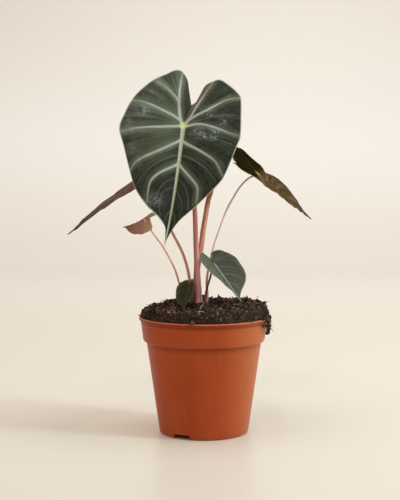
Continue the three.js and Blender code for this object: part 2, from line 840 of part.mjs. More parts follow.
// The body of the soil: rings from the floor up the pot's wall, over the rim and in over the rough mound.
function soilMound(random) {
  const floor = raisedFloor + floorThickness + gap;
  const wall = [
    [innerRadius(floor) - gap, floor],
    [innerRadius(bandFoot - 1.6) - gap, bandFoot - 1.6],
    [innerRadius(bandFoot + 1.6) - gap, bandFoot + 1.6],
    [rimRadius - wallThickness - gap - 0.1, potHeight + gap],
  ];
  const ringOf = (radius, height) =>
    Array.from({ length: soilSteps }, (unused, j) => {
      const angle = (2 * Math.PI * j) / soilSteps;
      const r = radius(angle);
      const [x, y] = [r * Math.cos(angle), r * Math.sin(angle)];
      return [x, y, height(x, y)];
    });
  const rings = wall.map(([radius, height]) => ringOf(() => radius, () => height));
  const rough = () => soilRelief * (2 * random() - 1);
  const onRim = potHeight + gap + 0.7;
  rings.push(ringOf(() => overhangRadius - 0.6 + 1.2 * random(), () => onRim + 0.9 * random()));
  const shoulderRings = [
    [59.6, 0.45],
    [58, 0.8],
  ];
  for (const [radius, share] of shoulderRings) {
    const climb = (x, y) => THREE.MathUtils.lerp(potHeight, soilHeight(x, y), share);
    const drawnIn = (angle) => soilLeftSlope * (share - 0.4) * leftwards(Math.cos(angle), Math.sin(angle));
    const around = (angle) => radius - drawnIn(angle) + 1.2 * (random() - 0.5);
    rings.push(ringOf(around, (x, y) => climb(x, y) + 0.5 * rough()));
  }
  const moundRadii = [55.2, 50, 44.5, 38.5, 32.5, 26, 19, 10];
  for (const radius of moundRadii) {
    const drawnIn = (angle) => (soilLeftSlope * leftwards(Math.cos(angle), Math.sin(angle)) * radius) / 55;
    const jitter = (angle) => radius - drawnIn(angle) + 1.6 * (random() - 0.5);
    rings.push(ringOf(jitter, (x, y) => soilHeight(x, y) + rough()));
  }
  return ringsSolid(rings);
}

// A crumb of potting mix: a lump of a few flat faces, turned and stretched at random.
function crumb(lump, x, y, z, random) {
  lump.rotateX(random() * 3).rotateZ(random() * 3);
  lump.scale(0.85 + 0.4 * random(), 0.85 + 0.4 * random(), 0.75 + 0.3 * random());
  return toSolid(lump.translate(x, y, z));
}

// The crumbs of the clump that hangs over the rim at the right, each [x, y, z, radius].
const clump = [
  [57.6, -4, 114, 4],
  [56.4, -14, 113, 4.2],
  [58, -14.5, 110.4, 3.4],
  [59, -15.6, 107.4, 3.0],
  [59, -16.4, 104.2, 2.8],
  [58.4, -18, 101.4, 2.6],
  [58.4, -16.8, 98.6, 2.4],
  [58.2, -16, 96.0, 2.1],
  [57, -21.4, 104.6, 2.4],
];

// The soil, with plain holes for the stalks and the corm's own space.
function soilSolid() {
  const random = makeRandom(21);
  let solid = soilMound(random);
  for (let i = 0; i < crumbCount; i += 1) {
    const angle = 2.39996 * i;
    const out = Math.hypot(14, 55 * Math.sqrt((i + 0.5) / crumbCount));
    const [x, y] = [out * Math.cos(angle), out * Math.sin(angle)];
    const nearHollow = Math.hypot(x - hollowPlace[0], y - hollowPlace[1]) < hollowRadius;
    const size = nearHollow ? 1.6 : THREE.MathUtils.lerp(...crumbSizes, random());
    const lump = new THREE.OctahedronGeometry(size, 0);
    solid = solid.add(crumb(lump, x, y, soilHeight(x, y) - 0.1 * size, random));
  }
  const rim = rimClearance();
  for (const [x, y, z, radius] of clump) {
    const lump = new THREE.IcosahedronGeometry(radius, 0);
    solid = solid.add(crumb(lump, x, y, z, random).subtract(rim));
  }
  solid = solid.subtract(cormSolid(gap)).subtract(mainStalksSolid(gap));
  for (const { points } of Object.values(stalks)) {
    solid = solid.subtract(thinStalk(points, gap));
  }
  return largestBody(solid);
}

// The whole plant, each piece a mesh of its own.
const plant = new THREE.Group();
const corm = cormSolid(0);
const cormSpace = cormSolid(gap);
const blades = Object.entries(leaves).map(([name, leaf]) => [name, leaf, bladeSolid(leaf)]);

plant.add(piece("pot", potSolid(), colours.pot, 0.5));
plant.add(piece("soil", soilSolid(), colours.soil, 0.95));
plant.add(piece("corm_and_roots", corm, colours.corm, 0.9));
const mainStalks = mainStalksSolid(0)
  .subtract(cormSpace)
  .subtract(bladeSolid(leaves.leaf_main, gap))
  .subtract(bladeSolid(leaves.leaf_back, gap));
plant.add(piece("main_stalks", largestBody(mainStalks), colours.stalk, 0.5));
for (const [name, stalk] of Object.entries(stalks)) {
  const solid = thinStalk(stalk.points, 0)
    .subtract(cormSpace)
    .subtract(bladeSolid(leaves[stalk.leaf], gap));
  plant.add(piece(name, largestBody(solid), stalk.color, 0.5));
}
for (const [name, leaf, blade] of blades) {
  plant.add(piece(name, blade, leaf.color, 0.45));
}

export default plant;
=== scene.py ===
"""Looks of a potted pink dragon alocasia: a young plant with heart-shaped, pale-veined leaves on pink
stalks, in crumbly mix in a round nursery pot. Lengths are in millimetres until a mesh is made."""

import math

import bmesh
import bpy
import numpy as np
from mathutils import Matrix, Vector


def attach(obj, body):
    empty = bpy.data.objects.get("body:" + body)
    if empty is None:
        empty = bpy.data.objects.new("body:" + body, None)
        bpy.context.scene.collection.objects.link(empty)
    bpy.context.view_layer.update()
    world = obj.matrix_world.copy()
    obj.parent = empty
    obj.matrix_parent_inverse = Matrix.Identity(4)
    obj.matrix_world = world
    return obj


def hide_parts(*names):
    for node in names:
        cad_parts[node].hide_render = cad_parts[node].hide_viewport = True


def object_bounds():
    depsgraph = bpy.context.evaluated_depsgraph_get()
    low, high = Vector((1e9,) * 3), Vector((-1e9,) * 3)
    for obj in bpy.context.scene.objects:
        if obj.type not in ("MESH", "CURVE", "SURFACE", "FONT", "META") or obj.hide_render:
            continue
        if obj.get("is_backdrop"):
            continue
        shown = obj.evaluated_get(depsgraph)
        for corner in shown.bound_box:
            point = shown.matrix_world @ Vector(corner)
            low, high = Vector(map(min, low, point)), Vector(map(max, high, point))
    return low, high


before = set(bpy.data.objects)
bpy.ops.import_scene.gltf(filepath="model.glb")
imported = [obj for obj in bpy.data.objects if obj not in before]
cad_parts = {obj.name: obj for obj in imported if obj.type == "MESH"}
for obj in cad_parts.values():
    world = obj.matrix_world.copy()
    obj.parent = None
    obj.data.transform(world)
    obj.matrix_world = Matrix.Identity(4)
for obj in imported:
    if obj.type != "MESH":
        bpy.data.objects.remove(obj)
solid_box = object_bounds()

# The pot.
# A thin-walled nursery pot, moulded in one piece of terracotta-coloured plastic: a tapering wall, a wider
# band under a small rolled lip, and a raised floor with drain holes and three slots under the foot.

MILLIMETRE = 0.001
POT_HEIGHT = 108.8
FOOT_RADIUS = 40.4
WALL_TOP = 85.2
FLOOR_UNDER = 2.0
FLOOR_TOP = 3.6
POT_STEPS = 160
SLOT_TURN = 240.4
SLOT_SECTION = [(-8.8, -3.0), (8.8, -3.0), (8.3, 4.4), (-8.3, 4.4)]
SLOT_REACH = (31.0, 46.0)
HOLE_CIRCLE = 25
HOLE_RADIUS = 3.5
SMALLEST_EDGE = 0.002
SHARP_TURN = 38


def join_rings(rings, steps, closed=True):
    """Corner numbers of the triangles between rings of points, each ring joined to the next one."""
    last = steps if closed else steps - 1
    ring, step = np.meshgrid(np.arange(rings - 1), np.arange(last), indexing="ij")
    a = ring * steps + step
    b = ring * steps + (step + 1) % steps
    return np.concatenate([np.stack([a, b, b + steps], -1).reshape(-1, 3),
                           np.stack([a, b + steps, a + steps], -1).reshape(-1, 3)])


def weld(points, triangles):
    """Points that lie on one another become one, and triangles that lose a corner that way are dropped."""
    _, first, same = np.unique(np.round(points, 4), axis=0, return_index=True, return_inverse=True)
    triangles = same.reshape(-1)[triangles]
    a, b, c = triangles.T
    return points[first], triangles[(a != b) & (b != c) & (c != a)], first


def outward(points, triangles):
    """The triangles of a closed surface, turned round if its volume, the sum of a . (b x c), is negative."""
    a, b, c = (points[triangles[:, k]] for k in range(3))
    return triangles if np.einsum("ij,ij->", a, np.cross(b, c)) > 0 else triangles[:, ::-1]


def make_piece(name, points, triangles, fields=None, smooth=True):
    """An object of a welded closed mesh, shaded smooth or faceted, with a number per point for each field."""
    points, triangles, kept = weld(np.asarray(points, float), triangles)
    triangles = outward(points, triangles)
    mesh = bpy.data.meshes.new(name)
    mesh.from_pydata((points * MILLIMETRE).tolist(), [], triangles.tolist())
    if smooth:
        mesh.shade_smooth()
    for field, values in (fields or {}).items():
        values = np.asarray(values, np.float32).reshape(-1)[kept]
        mesh.attributes.new(field, "FLOAT", "POINT").data.foreach_set("value", values)
    piece = bpy.data.objects.new(name, mesh)
    bpy.context.scene.collection.objects.link(piece)
    return piece


def rounded(corners, radius, cuts=5):
    """A closed outline whose corners are each replaced by a short quadratic bend, which starts and ends the
    radius away from the corner, or at a third of the side where that is shorter."""
    corners = np.asarray(corners, float)
    before, after = np.roll(corners, 1, 0) - corners, np.roll(corners, -1, 0) - corners
    reach = lambda side: np.minimum(radius, np.linalg.norm(side, axis=1) / 3)[:, None]
    start = corners + before / np.linalg.norm(before, axis=1)[:, None] * reach(before)
    end = corners + after / np.linalg.norm(after, axis=1)[:, None] * reach(after)
    t = np.linspace(0, 1, cuts)[None, :, None]
    bend = (1 - t) ** 2 * start[:, None] + 2 * t * (1 - t) * corners[:, None] + t * t * end[:, None]
    return bend.reshape(-1, 2)


def turn_profile(outline, steps):
    """A closed outline of [radius, height] turned round the vertical axis."""
    angle = np.linspace(0, 2 * np.pi, steps, endpoint=False)
    radius, height = outline[:, :1], outline[:, 1:]
    points = np.stack([radius * np.cos(angle), radius * np.sin(angle), height + 0 * angle], -1)
    return points.reshape(-1, 3), join_rings(len(outline), steps)


def cutter(outline, low, high):
    """A closed prism over an outline of [x, y], from one height to another."""
    outline = np.asarray(outline, float)
    levels = [np.column_stack([outline, np.full(len(outline), z)]) for z in (low, high)]
    middles = [np.tile(level.mean(0), (len(outline), 1)) for level in levels]
    points = np.concatenate([middles[0], levels[0], levels[1], middles[1]])
    return points, join_rings(4, len(outline))


class Value:
    """A number that varies over a finish. Sums and products of it add Math nodes."""

    def __init__(self, finish, socket):
        self.finish, self.socket = finish, socket

    def maths(self, operation, first, second):
        return self.finish.node("ShaderNodeMath", {"operation": operation}, {0: first, 1: second})

    def __add__(self, other):
        return self.maths("ADD", self, other)

    def __sub__(self, other):
        return self.maths("SUBTRACT", self, other)

    def __mul__(self, other):
        return self.maths("MULTIPLY", self, other)

    def __rsub__(self, other):
        return self.maths("SUBTRACT", other, self)

    __radd__ = __add__
    __rmul__ = __mul__

    def between(self, low, high):
        """0 where the value is low and 1 where it is high, with a smooth step from one to the other."""
        settings = {"interpolation_type": "SMOOTHSTEP"}
        return self.finish.node("ShaderNodeMapRange", settings, {0: self, 1: low, 2: high, 3: 0.0, 4: 1.0})


class Finish:
    """A material made of nodes round one Principled shader, whose constant sockets are set straight away."""

    def __init__(self, name, **constants):
        self.material = bpy.data.materials.new(name)
        self.material.use_nodes = True
        self.tree = self.material.node_tree
        self.shader = self.tree.nodes["Principled BSDF"]
        for socket, value in constants.items():
            self.shader.inputs[socket].default_value = value

    def node(self, kind, settings, inputs, output=0):
        """A node of a kind with its settings, which are set first, and the values or links of its sockets."""
        made = self.tree.nodes.new(kind)
        for name, value in settings.items():
            setattr(made, name, value)
        for socket, value in inputs.items():
            if isinstance(value, Value):
                self.tree.links.new(value.socket, made.inputs[socket])
            else:
                made.inputs[socket].default_value = value
        return Value(self, made.outputs[output])

    def place(self):
        return self.node("ShaderNodeTexCoord", {}, {}, "Object")

    def metres(self, axis):
        """The distance to the right of the pot's axis for X, behind it for Y, and above the floor for Z."""
        return self.node("ShaderNodeSeparateXYZ", {}, {0: self.place()}, axis)

    def stretched(self, vector, scale):
        return self.node("ShaderNodeVectorMath", {"operation": "MULTIPLY"}, {0: vector, 1: scale})

    def noise(self, vector, scale, detail=3.0, roughness=0.5):
        inputs = {"Vector": vector, "Scale": scale, "Detail": detail, "Roughness": roughness}
        return self.node("ShaderNodeTexNoise", {}, inputs)

    def field(self, name):
        return self.node("ShaderNodeAttribute", {"attribute_name": name}, {}, "Fac")

    def mix(self, share, first, second):
        return self.node("ShaderNodeMix", {"data_type": "RGBA"}, {0: share, 6: first, 7: second}, 2)

    def over(self, tone, *layers):
        """A tone with colours laid over it one after another, each by a share of its own."""
        for share, colour in layers:
            tone = self.mix(share, tone, colour)
        return tone

    def feed(self, socket, value):
        self.tree.links.new(value.socket, self.shader.inputs[socket])

    def bump(self, height, strength, distance):
        inputs = {"Height": height, "Strength": strength, "Distance": distance}
        self.feed("Normal", self.node("ShaderNodeBump", {}, inputs))


def paint(red, green, blue):
    """A screen colour, 0 to 255, as the light that a shader works with: the curve of screens taken off."""
    share = np.array([red, green, blue]) / 255
    light = np.where(share <= 0.04045, share / 12.92, ((share + 0.055) / 1.055) ** 2.4)
    return (*light.tolist(), 1.0)


def dress(piece, finish, slot, *nodes):
    """Gives a piece its finish, puts it on the body and lets it stand for solid nodes; its record slot is not
    used.
    """
    piece.data.materials.clear()
    piece.data.materials.append(finish.material)
    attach(piece, "root")
    if nodes:
        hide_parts(*nodes)


# Outside from the raised middle of the underside up to the lip, and inside down to the floor.
pot_outline = rounded([
    (17.0, 0.0), (18.4, FLOOR_UNDER), (34.4, FLOOR_UNDER), (35.8, 0.0), (FOOT_RADIUS, 0.0), (41.5, 0.9),
    (42.0, 3.2), (53.6, WALL_TOP), (55.9, 86.0), (56.8, 87.2), (58.9, 103.4), (59.1, 105.0), (60.5, 105.8),
    (60.7, 107.9), (59.9, POT_HEIGHT), (58.8, 108.5), (58.3, 105.5), (55.6, 88.0), (52.3, 84.8),
    (40.7, FLOOR_TOP),
], 0.7)
pot_outline = np.concatenate([[[0, 0], [16.0, 0]], pot_outline, [[40.0, FLOOR_TOP], [0, FLOOR_TOP]]])
pot_points, pot_triangles = turn_profile(np.vstack([pot_outline, pot_outline[:1]]), POT_STEPS)
pot = make_piece("pot", pot_points, pot_triangles)

# Three slots through the foot, and six round holes through the floor.
cuts = []
for turn in (SLOT_TURN, SLOT_TURN + 120, SLOT_TURN + 240):
    points, triangles = cutter(rounded(SLOT_SECTION, 0.8), *SLOT_REACH)
    angle = math.radians(turn)
    from_axis = np.array([math.cos(angle), math.sin(angle), 0])
    along_wall = np.array([-math.sin(angle), math.cos(angle), 0])
    points = points[:, 2:] * from_axis + points[:, :1] * along_wall + points[:, 1:2] * [0, 0, 1]
    cuts.append((points, triangles))
for turn in np.radians(SLOT_TURN + 30 + 60 * np.arange(6)):
    around = np.linspace(0, 2 * np.pi, 32, endpoint=False)
    circle = np.column_stack([HOLE_CIRCLE * math.cos(turn) + HOLE_RADIUS * np.cos(around),
                              HOLE_CIRCLE * math.sin(turn) + HOLE_RADIUS * np.sin(around)])
    cuts.append(cutter(circle, -1.0, 6.0))
for number, (points, triangles) in enumerate(cuts):
    tool = make_piece(f"cut_{number}", points, triangles)
    cut = pot.modifiers.new("cut", "BOOLEAN")
    cut.operation, cut.solver, cut.object = "DIFFERENCE", "EXACT", tool
    cut_mesh = bpy.data.meshes.new_from_object(pot.evaluated_get(bpy.context.evaluated_depsgraph_get()))
    pot.modifiers.clear()
    pot.data = cut_mesh
    bpy.data.objects.remove(tool)
wall_mesh = bmesh.new()
wall_mesh.from_mesh(pot.data)
bmesh.ops.remove_doubles(wall_mesh, verts=wall_mesh.verts, dist=SMALLEST_EDGE * MILLIMETRE)
bmesh.ops.dissolve_degenerate(wall_mesh, edges=wall_mesh.edges, dist=SMALLEST_EDGE * MILLIMETRE)
wall_mesh.to_mesh(pot.data)
wall_mesh.free()
pot.data.shade_smooth()
pot.data.set_sharp_from_angle(angle=math.radians(SHARP_TURN))

# Drawn lightly up and down, painted lighter on the right as painted light from the key light, with painted
# shade where the lip and the step shade it and a painted highlight along the top of the lip, and dusty with
# mix under the lip and at the foot.
plastic = Finish("moulded_plastic", **{"Specular IOR Level": 0.2, "Specular Tint": paint(255, 212, 164)})
place, height = plastic.place(), plastic.metres("Z")
cloud = plastic.noise(place, 22.0, 3.0)
grain = plastic.noise(place, 1400.0, 2.0)
drawn = plastic.noise(plastic.stretched(place, (260.0, 260.0, 9.0)), 1.0, 3.0)
dusty = plastic.noise(place, 90.0, 5.0, 0.7).between(0.55, 0.75)
# Painted light: the right side is painted lighter, where the key light falls on it.
painted_light_right = plastic.metres("X").between(0.01, 0.06)
under_lip = height.between(0.1022, 0.1042) * (1 - height.between(0.107, 0.108))
in_step = height.between(0.079, 0.0848) * (1 - height.between(0.0852, 0.0872))
# Painted highlight: a lighter line along the top of the lip, where light catches it.
painted_lip_highlight = height.between(0.1076, 0.1086)
near_lip = height.between(0.098, 0.1086) * 0.5
near_foot = (1 - height.between(0.0, 0.012)) * 0.35
tone = plastic.mix(cloud.between(0.3, 0.7), paint(155, 64, 32), paint(162, 70, 37))
plastic.feed("Base Color", plastic.over(
    tone,
    (drawn.between(0.45, 0.8) * 0.2, paint(178, 86, 48)),
    (painted_light_right * 0.7, paint(196, 114, 66)),
    (under_lip * 0.55, paint(104, 40, 22)),
    (in_step * 0.4, paint(104, 40, 20)),
    (painted_lip_highlight * 0.6, paint(200, 126, 100)),
    (dusty * near_lip, paint(112, 66, 44)),
    (dusty * near_foot, paint(150, 100, 72))))
plastic.feed("Roughness", 0.3 + cloud * 0.1 + drawn * 0.08)
plastic.bump(grain + drawn * 0.5, 0.12, 0.0002)
dress(pot, plastic, "pot_plastic", "pot")

# The soil.
# Coarse, damp potting mix heaped a little over the rim: a rough mound, covered in crumbs, with bark chips,
# pale grains and dry fibres among them. A clump hangs over the rim on the right.

SOIL_RADIUS = 59.6
SOIL_STEPS = 230
GOLDEN_ANGLE = 2.399963
HEAP_RISE, CROWN_RISE = 8.2, 3.2
HOLLOW_DEPTH, HOLLOW_RADIUS, HOLLOW_X, HOLLOW_Y = 5, 15, -20, -33
CLOD_COUNT, CRUMB_COUNT, SIDE_COUNT, CLUMP_COUNT = 430, 2300, 1100, 330
CHIP_COUNT, GRAIN_COUNT = 230, 110
LYING_COUNT, JUTTING_COUNT, DANGLING_COUNT = 330, 40, 34
LUMP_CORNERS, FIBRE_RINGS, FIBRE_SIDES = 12, 8, 3
CLUMP_TURN, CLUMP_LOW, CLUMP_HIGH = math.radians(-15.5), 94.5, 114.0
CRUMBS_ON_RIM = [(-14.5, -59.2, 109.8), (-13.5, -60.4, 109.3), (-12.2, -60.9, 107.6), (-10.8, -60.6, 109.2),
                 (-9.3, -60.2, 109.9), (40.5, -44.5, 110.0), (41.8, -43.9, 109.6), (-59.4, -9, 110.4)]
random = np.random.default_rng(31)


def smooth_noise(x, y, cell, seed):
    """Noise from -1 to 1: random heights at the corners of square cells, blended across each by a cubic."""
    table = np.random.default_rng(seed).uniform(-1, 1, (64, 64))
    u, v = x / cell + 31, y / cell + 31
    i, j = np.floor(u).astype(int), np.floor(v).astype(int)
    f, g = (t * t * (3 - 2 * t) for t in (u - i, v - j))
    corner = lambda a, b: table[(i + a) % 64, (j + b) % 64]
    low = corner(0, 0) * (1 - f) + corner(1, 0) * f
    high = corner(0, 1) * (1 - f) + corner(1, 1) * f
    return low * (1 - g) + high * g


def soil_height(x, y):
    """The heap: a flat crown with a shoulder above the rim, a lean to the right and a hollow at the front."""
    out = np.hypot(x, y) / SOIL_RADIUS
    from_hollow = np.hypot(x - HOLLOW_X, y - HOLLOW_Y) / HOLLOW_RADIUS
    hollow = HOLLOW_DEPTH * np.maximum(0, 1 - from_hollow ** 2)
    slope = 1.9 * x / SOIL_RADIUS - 1.5 * np.maximum(0, -x / SOIL_RADIUS) ** 3
    return POT_HEIGHT + HEAP_RISE + slope + CROWN_RISE * np.maximum(0, 1 - out ** 4) - hollow


def soil_surface(x, y):
    """The heap with lumps of 11, 5 and 2 mm on it."""
    coarse, middling, fine = (smooth_noise(x, y, cell, k + 1) for k, cell in enumerate((11.0, 5.2, 2.6)))
    return soil_height(x, y) + (1.0 * coarse + 1.7 * middling + 0.8 * fine) - 0.4


def shoulder(angle, share):
    """The heap's rounded side, from the rim at share 0 up to the top at share 1: an arc that leans in."""
    lean = 5.0 * share * np.maximum(0, -np.cos(angle))
    radius = SOIL_RADIUS - 3.4 * share ** 2.2 - 0.9 * (1 - share) ** 6 - lean
    radius = radius + 0.9 * smooth_noise(60 * np.cos(angle), 60 * np.sin(angle) + 40 * share, 3.4, 5)
    x, y = radius * np.cos(angle), radius * np.sin(angle)
    low = POT_HEIGHT + 0.4
    return np.stack([x, y, low + np.sin(share * np.pi / 2) * (soil_surface(x, y) - low)], -1)


def soil_mound():
    """Rings from the pot's floor up its wall, over the rim and in over the heap to its middle."""
    angle = np.linspace(0, 2 * np.pi, SOIL_STEPS, endpoint=False)
    wall = [(0, 3.9), (20, 3.9), (40.2, 3.9), (46, 46.0), (51.8, 84.8), (55.2, 88.0), (58.1, 106.0),
            (58.4, 109.1)]
    rings = []
    for radius, height in wall:
        rings.append(np.column_stack([radius * np.cos(angle), radius * np.sin(angle), height + 0 * angle]))
    for share in np.linspace(0.03, 0.97, 10):
        rings.append(shoulder(angle, share))
    top = np.linspace(1, 0, 84)[:, None] * (56.2 - 5.0 * np.maximum(0, -np.cos(angle)))
    x, y = top * np.cos(angle), top * np.sin(angle)
    mound = np.stack([x, y, soil_surface(x, y)], -1).reshape(-1, 3)
    points = np.concatenate([*rings, mound])
    return points, join_rings(len(points) // SOIL_STEPS, SOIL_STEPS)


def lumps(centres, sizes, squash=0.75):
    """Small rough lumps: the twelve corners of an icosahedron, each moved in or out a little, then stretched
    and turned at random and moved to a centre."""
    golden = (1 + 5 ** 0.5) / 2
    corners = np.array([(-1, golden, 0), (1, golden, 0), (-1, -golden, 0), (1, -golden, 0), (0, -1, golden),
                        (0, 1, golden), (0, -1, -golden), (0, 1, -golden), (golden, 0, -1), (golden, 0, 1),
                        (-golden, 0, -1), (-golden, 0, 1)]) / math.hypot(1, golden)
    faces = np.array([(0, 11, 5), (0, 5, 1), (0, 1, 7), (0, 7, 10), (0, 10, 11), (1, 5, 9), (5, 11, 4),
                      (11, 10, 2), (10, 7, 6), (7, 1, 8), (3, 9, 4), (3, 4, 2), (3, 2, 6), (3, 6, 8),
                      (3, 8, 9), (4, 9, 5), (2, 4, 11), (6, 2, 10), (8, 6, 7), (9, 8, 1)])
    count = len(centres)
    shape = corners[None] * random.uniform(0.55, 1.35, (count, LUMP_CORNERS, 1))
    shape = shape * np.stack([0.7 + 1.8 * random.beta(1, 3, count), random.uniform(0.45, 1.1, count),
                              random.uniform(squash * 0.7, squash * 1.2, count)], -1)[:, None]
    axis = random.normal(size=(count, 4))
    w, x, y, z = (axis / np.linalg.norm(axis, axis=1)[:, None]).T
    turn = np.stack([1 - 2 * (y * y + z * z), 2 * (x * y - w * z), 2 * (x * z + w * y),
                     2 * (x * y + w * z), 1 - 2 * (x * x + z * z), 2 * (y * z - w * x),
                     2 * (x * z - w * y), 2 * (y * z + w * x), 1 - 2 * (x * x + y * y)], -1)
    points = np.einsum("nij,nkj->nki", turn.reshape(-1, 3, 3), shape)
    points = points * np.asarray(sizes)[:, None, None] + centres[:, None]
    triangles = faces[None] + LUMP_CORNERS * np.arange(count)[:, None, None]
    return points.reshape(-1, 3), triangles.reshape(-1, 3)


def threads(starts, headings, lengths, radii, lift):
    """Thin fibres of three sides: each runs from its start along its heading, sways sideways in a slow wave
    and rises in an arch, and comes to a point at both ends."""
    count = len(starts)
    s = np.linspace(0, 1, FIBRE_RINGS)[None, :, None]
    ahead = (headings / np.linalg.norm(headings, axis=1)[:, None])[:, None]
    aside = np.cross(ahead, [0.1, 0.2, 1.0])
    aside /= np.linalg.norm(aside, axis=2)[..., None]
    above = np.cross(aside, ahead)
    sway = random.uniform(-0.3, 0.3, (count, 1, 1)) * np.sin(random.uniform(2, 7, (count, 1, 1)) * s + 1)
    length = lengths[:, None, None]
    path = starts[:, None] + ahead * length * s + aside * length * sway
    path = path + above * lift[:, None, None] * 4 * s * (1 - s)
    around = np.linspace(0, 2 * np.pi, FIBRE_SIDES, endpoint=False)[None, None, :, None]
    thick = radii[:, None, None] * np.sqrt(np.clip(4 * s * (1 - s), 0.02, 1))
    ring = np.cos(around) * aside[:, :, None] + np.sin(around) * above[:, :, None]
    points = path[:, :, None] + ring * thick[..., None]
    corners = FIBRE_SIDES * FIBRE_RINGS
    ends = np.array([[2, 1, 0], [corners - 3, corners - 2, corners - 1]])
    triangles = np.concatenate([join_rings(FIBRE_RINGS, FIBRE_SIDES), ends])
    triangles = triangles[None] + corners * np.arange(count)[:, None, None]
    return points.reshape(-1, 3), triangles.reshape(-1, 3)


def scattered(count, reach, first_turn):
    """Places spread evenly over a disc: the root of the share for the radius, the golden angle round."""
    share = (np.arange(count) + 0.5) / count
    radius = reach * np.sqrt(share) + random.normal(0, 0.7, count)
    angle = GOLDEN_ANGLE * np.arange(count) + first_turn + random.normal(0, 0.1, count)
    return np.clip(radius, 0, reach) * np.cos(angle), np.clip(radius, 0, reach) * np.sin(angle)


def on_heap(count, reach, first_turn, clear, sizes, sink):
    """Centres and sizes of lumps that lie over the heap, clear of the bunch of stalk feet in its middle. Each
    is sunk by a share of its size."""
    x, y = scattered(count, reach, first_turn)
    size = sizes[0] + (sizes[1] - sizes[0]) * random.beta(1.3, 2.6, count)
    keep = np.hypot((x + 6) / 1.5, (y - 2) / 0.9) > clear + size
    x, y, size = x[keep], y[keep], size[keep]
    return np.column_stack([x, y, soil_surface(x, y) - sink * size]), size


def scatter_piece(name, centres, sizes, squash=0.75, tint=None):
    """A piece of lumps at centres, with a tint for each lump drawn after its shape, if it has one."""
    points, triangles = lumps(centres, sizes, squash)
    fields = {"tint": np.repeat(tint(len(centres)), LUMP_CORNERS)} if tint else None
    return make_piece(name, points, triangles, fields, smooth=False)


soil = make_piece("soil", *soil_mound())

# Crumbs of three sizes over the heap, more on its side above the rim, the clump that hangs over the rim, and
# a few on the rim itself.
clods, clod_sizes = on_heap(CLOD_COUNT, 55, 0.7, 6, (1.6, 4.0), 0.1)
small, small_sizes = on_heap(CRUMB_COUNT, 57, 0.0, 4.5, (0.5, 1.7), -0.25)
angle, share = random.uniform(0, 2 * np.pi, SIDE_COUNT), random.uniform(0.0, 1.0, SIDE_COUNT) ** 0.8
side_sizes = 0.5 + 1.8 * random.beta(1.2, 2.6, SIDE_COUNT)
inwards = np.stack([np.cos(angle), np.sin(angle), 0 * angle], -1) * 0.2 * side_sizes[:, None]
side = shoulder(angle, share) - inwards
side[:, 2] = np.maximum(side[:, 2], POT_HEIGHT + 0.55 * side_sizes)
level = CLUMP_HIGH - (CLUMP_HIGH - CLUMP_LOW) * random.beta(1.1, 1.5, CLUMP_COUNT)
spread = np.radians(3.4 + 8.5 * np.clip((level - 98) / 14, 0, 1))
angle = CLUMP_TURN + spread * random.normal(0, 0.62, CLUMP_COUNT) + 0.05 * np.sin(level * 0.9)
over_rim = 58.5 + 1.8 * random.uniform(0, 1, CLUMP_COUNT)
outside_rim = 60.9 + 1.6 * random.uniform(0, 1, CLUMP_COUNT) ** 2
radius = np.where(level > 109.5, over_rim, outside_rim)
hanging = np.column_stack([radius * np.cos(angle), radius * np.sin(angle), level])
centres = np.concatenate([clods, small, side, hanging, CRUMBS_ON_RIM])
size = np.concatenate([clod_sizes, small_sizes, side_sizes, random.uniform(0.5, 1.5, CLUMP_COUNT),
                       np.full(len(CRUMBS_ON_RIM), 1.1)])
crumbs = scatter_piece("soil_crumbs", centres, size, tint=lambda count: random.beta(0.4, 2.6, count))
chips = scatter_piece("bark_chips", *on_heap(CHIP_COUNT, 57, 1.3, 7, (1.2, 3.0), -0.25), 0.3,
                      tint=lambda count: random.uniform(0, 1, count))
grains = scatter_piece("pale_grains", *on_heap(GRAIN_COUNT, 57, 2.2, 7, (0.35, 0.95), -1.0), 0.9)

# Fibres that lie on the heap, that stick out of its side, and that hang in the clump.
lying, _ = on_heap(LYING_COUNT, 55, 4.0, 5, (0.1, 0.2), -3.0)
angle = random.uniform(0, 2 * np.pi, JUTTING_COUNT)
jutting = shoulder(angle, random.uniform(0.3, 0.9, JUTTING_COUNT))
angle = CLUMP_TURN + math.radians(6) * random.normal(0, 1, DANGLING_COUNT)
dangling_level = random.uniform(99, 112, DANGLING_COUNT)
dangling = np.column_stack([61.6 * np.cos(angle), 61.6 * np.sin(angle), dangling_level])
starts = np.concatenate([lying, jutting, dangling])
headings = random.normal(0, 1, (len(starts), 3)) * [1, 1, 0.25]
headings[len(lying):len(lying) + JUTTING_COUNT] += 0.4 * jutting / 60 * [1, 1, 0.1]
headings[-DANGLING_COUNT:] = random.normal(0, 0.35, (DANGLING_COUNT, 3)) + [0.25, 0, -1]
count = len(starts)
lengths = np.concatenate([random.uniform(2.5, 9.0, len(lying)), random.uniform(1.5, 3.0, JUTTING_COUNT),
                          random.uniform(2.5, 6.0, DANGLING_COUNT)])
radii = random.uniform(0.15, 0.36, count)
fibre_points, fibre_triangles = threads(starts, headings, lengths, radii, random.uniform(-0.3, 1.0, count))
fibre_tint = np.repeat(random.beta(0.6, 1.8, count), FIBRE_SIDES * FIBRE_RINGS)
fibres = make_piece("dry_fibres", fibre_points, fibre_triangles, {"tint": fibre_tint})

# Damp mix in two browns with pale specks.
mix_look = Finish("potting_mix", **{"Specular IOR Level": 0.25})
place = mix_look.place()
patch = mix_look.noise(place, 160.0, 5.0, 0.65)
speck = mix_look.noise(place, 900.0, 3.0, 0.6)
tone = mix_look.mix(patch.between(0.35, 0.7), paint(31, 20, 11), paint(68, 46, 30))
mix_look.feed("Base Color", mix_look.over(tone, (speck.between(0.62, 0.75) * 0.5, paint(90, 60, 44))))
mix_look.feed("Roughness", 0.75 + patch * 0.25)
mix_look.bump(patch + speck * 0.6, 0.8, 0.0012)
dress(soil, mix_look, "potting_soil", "soil")

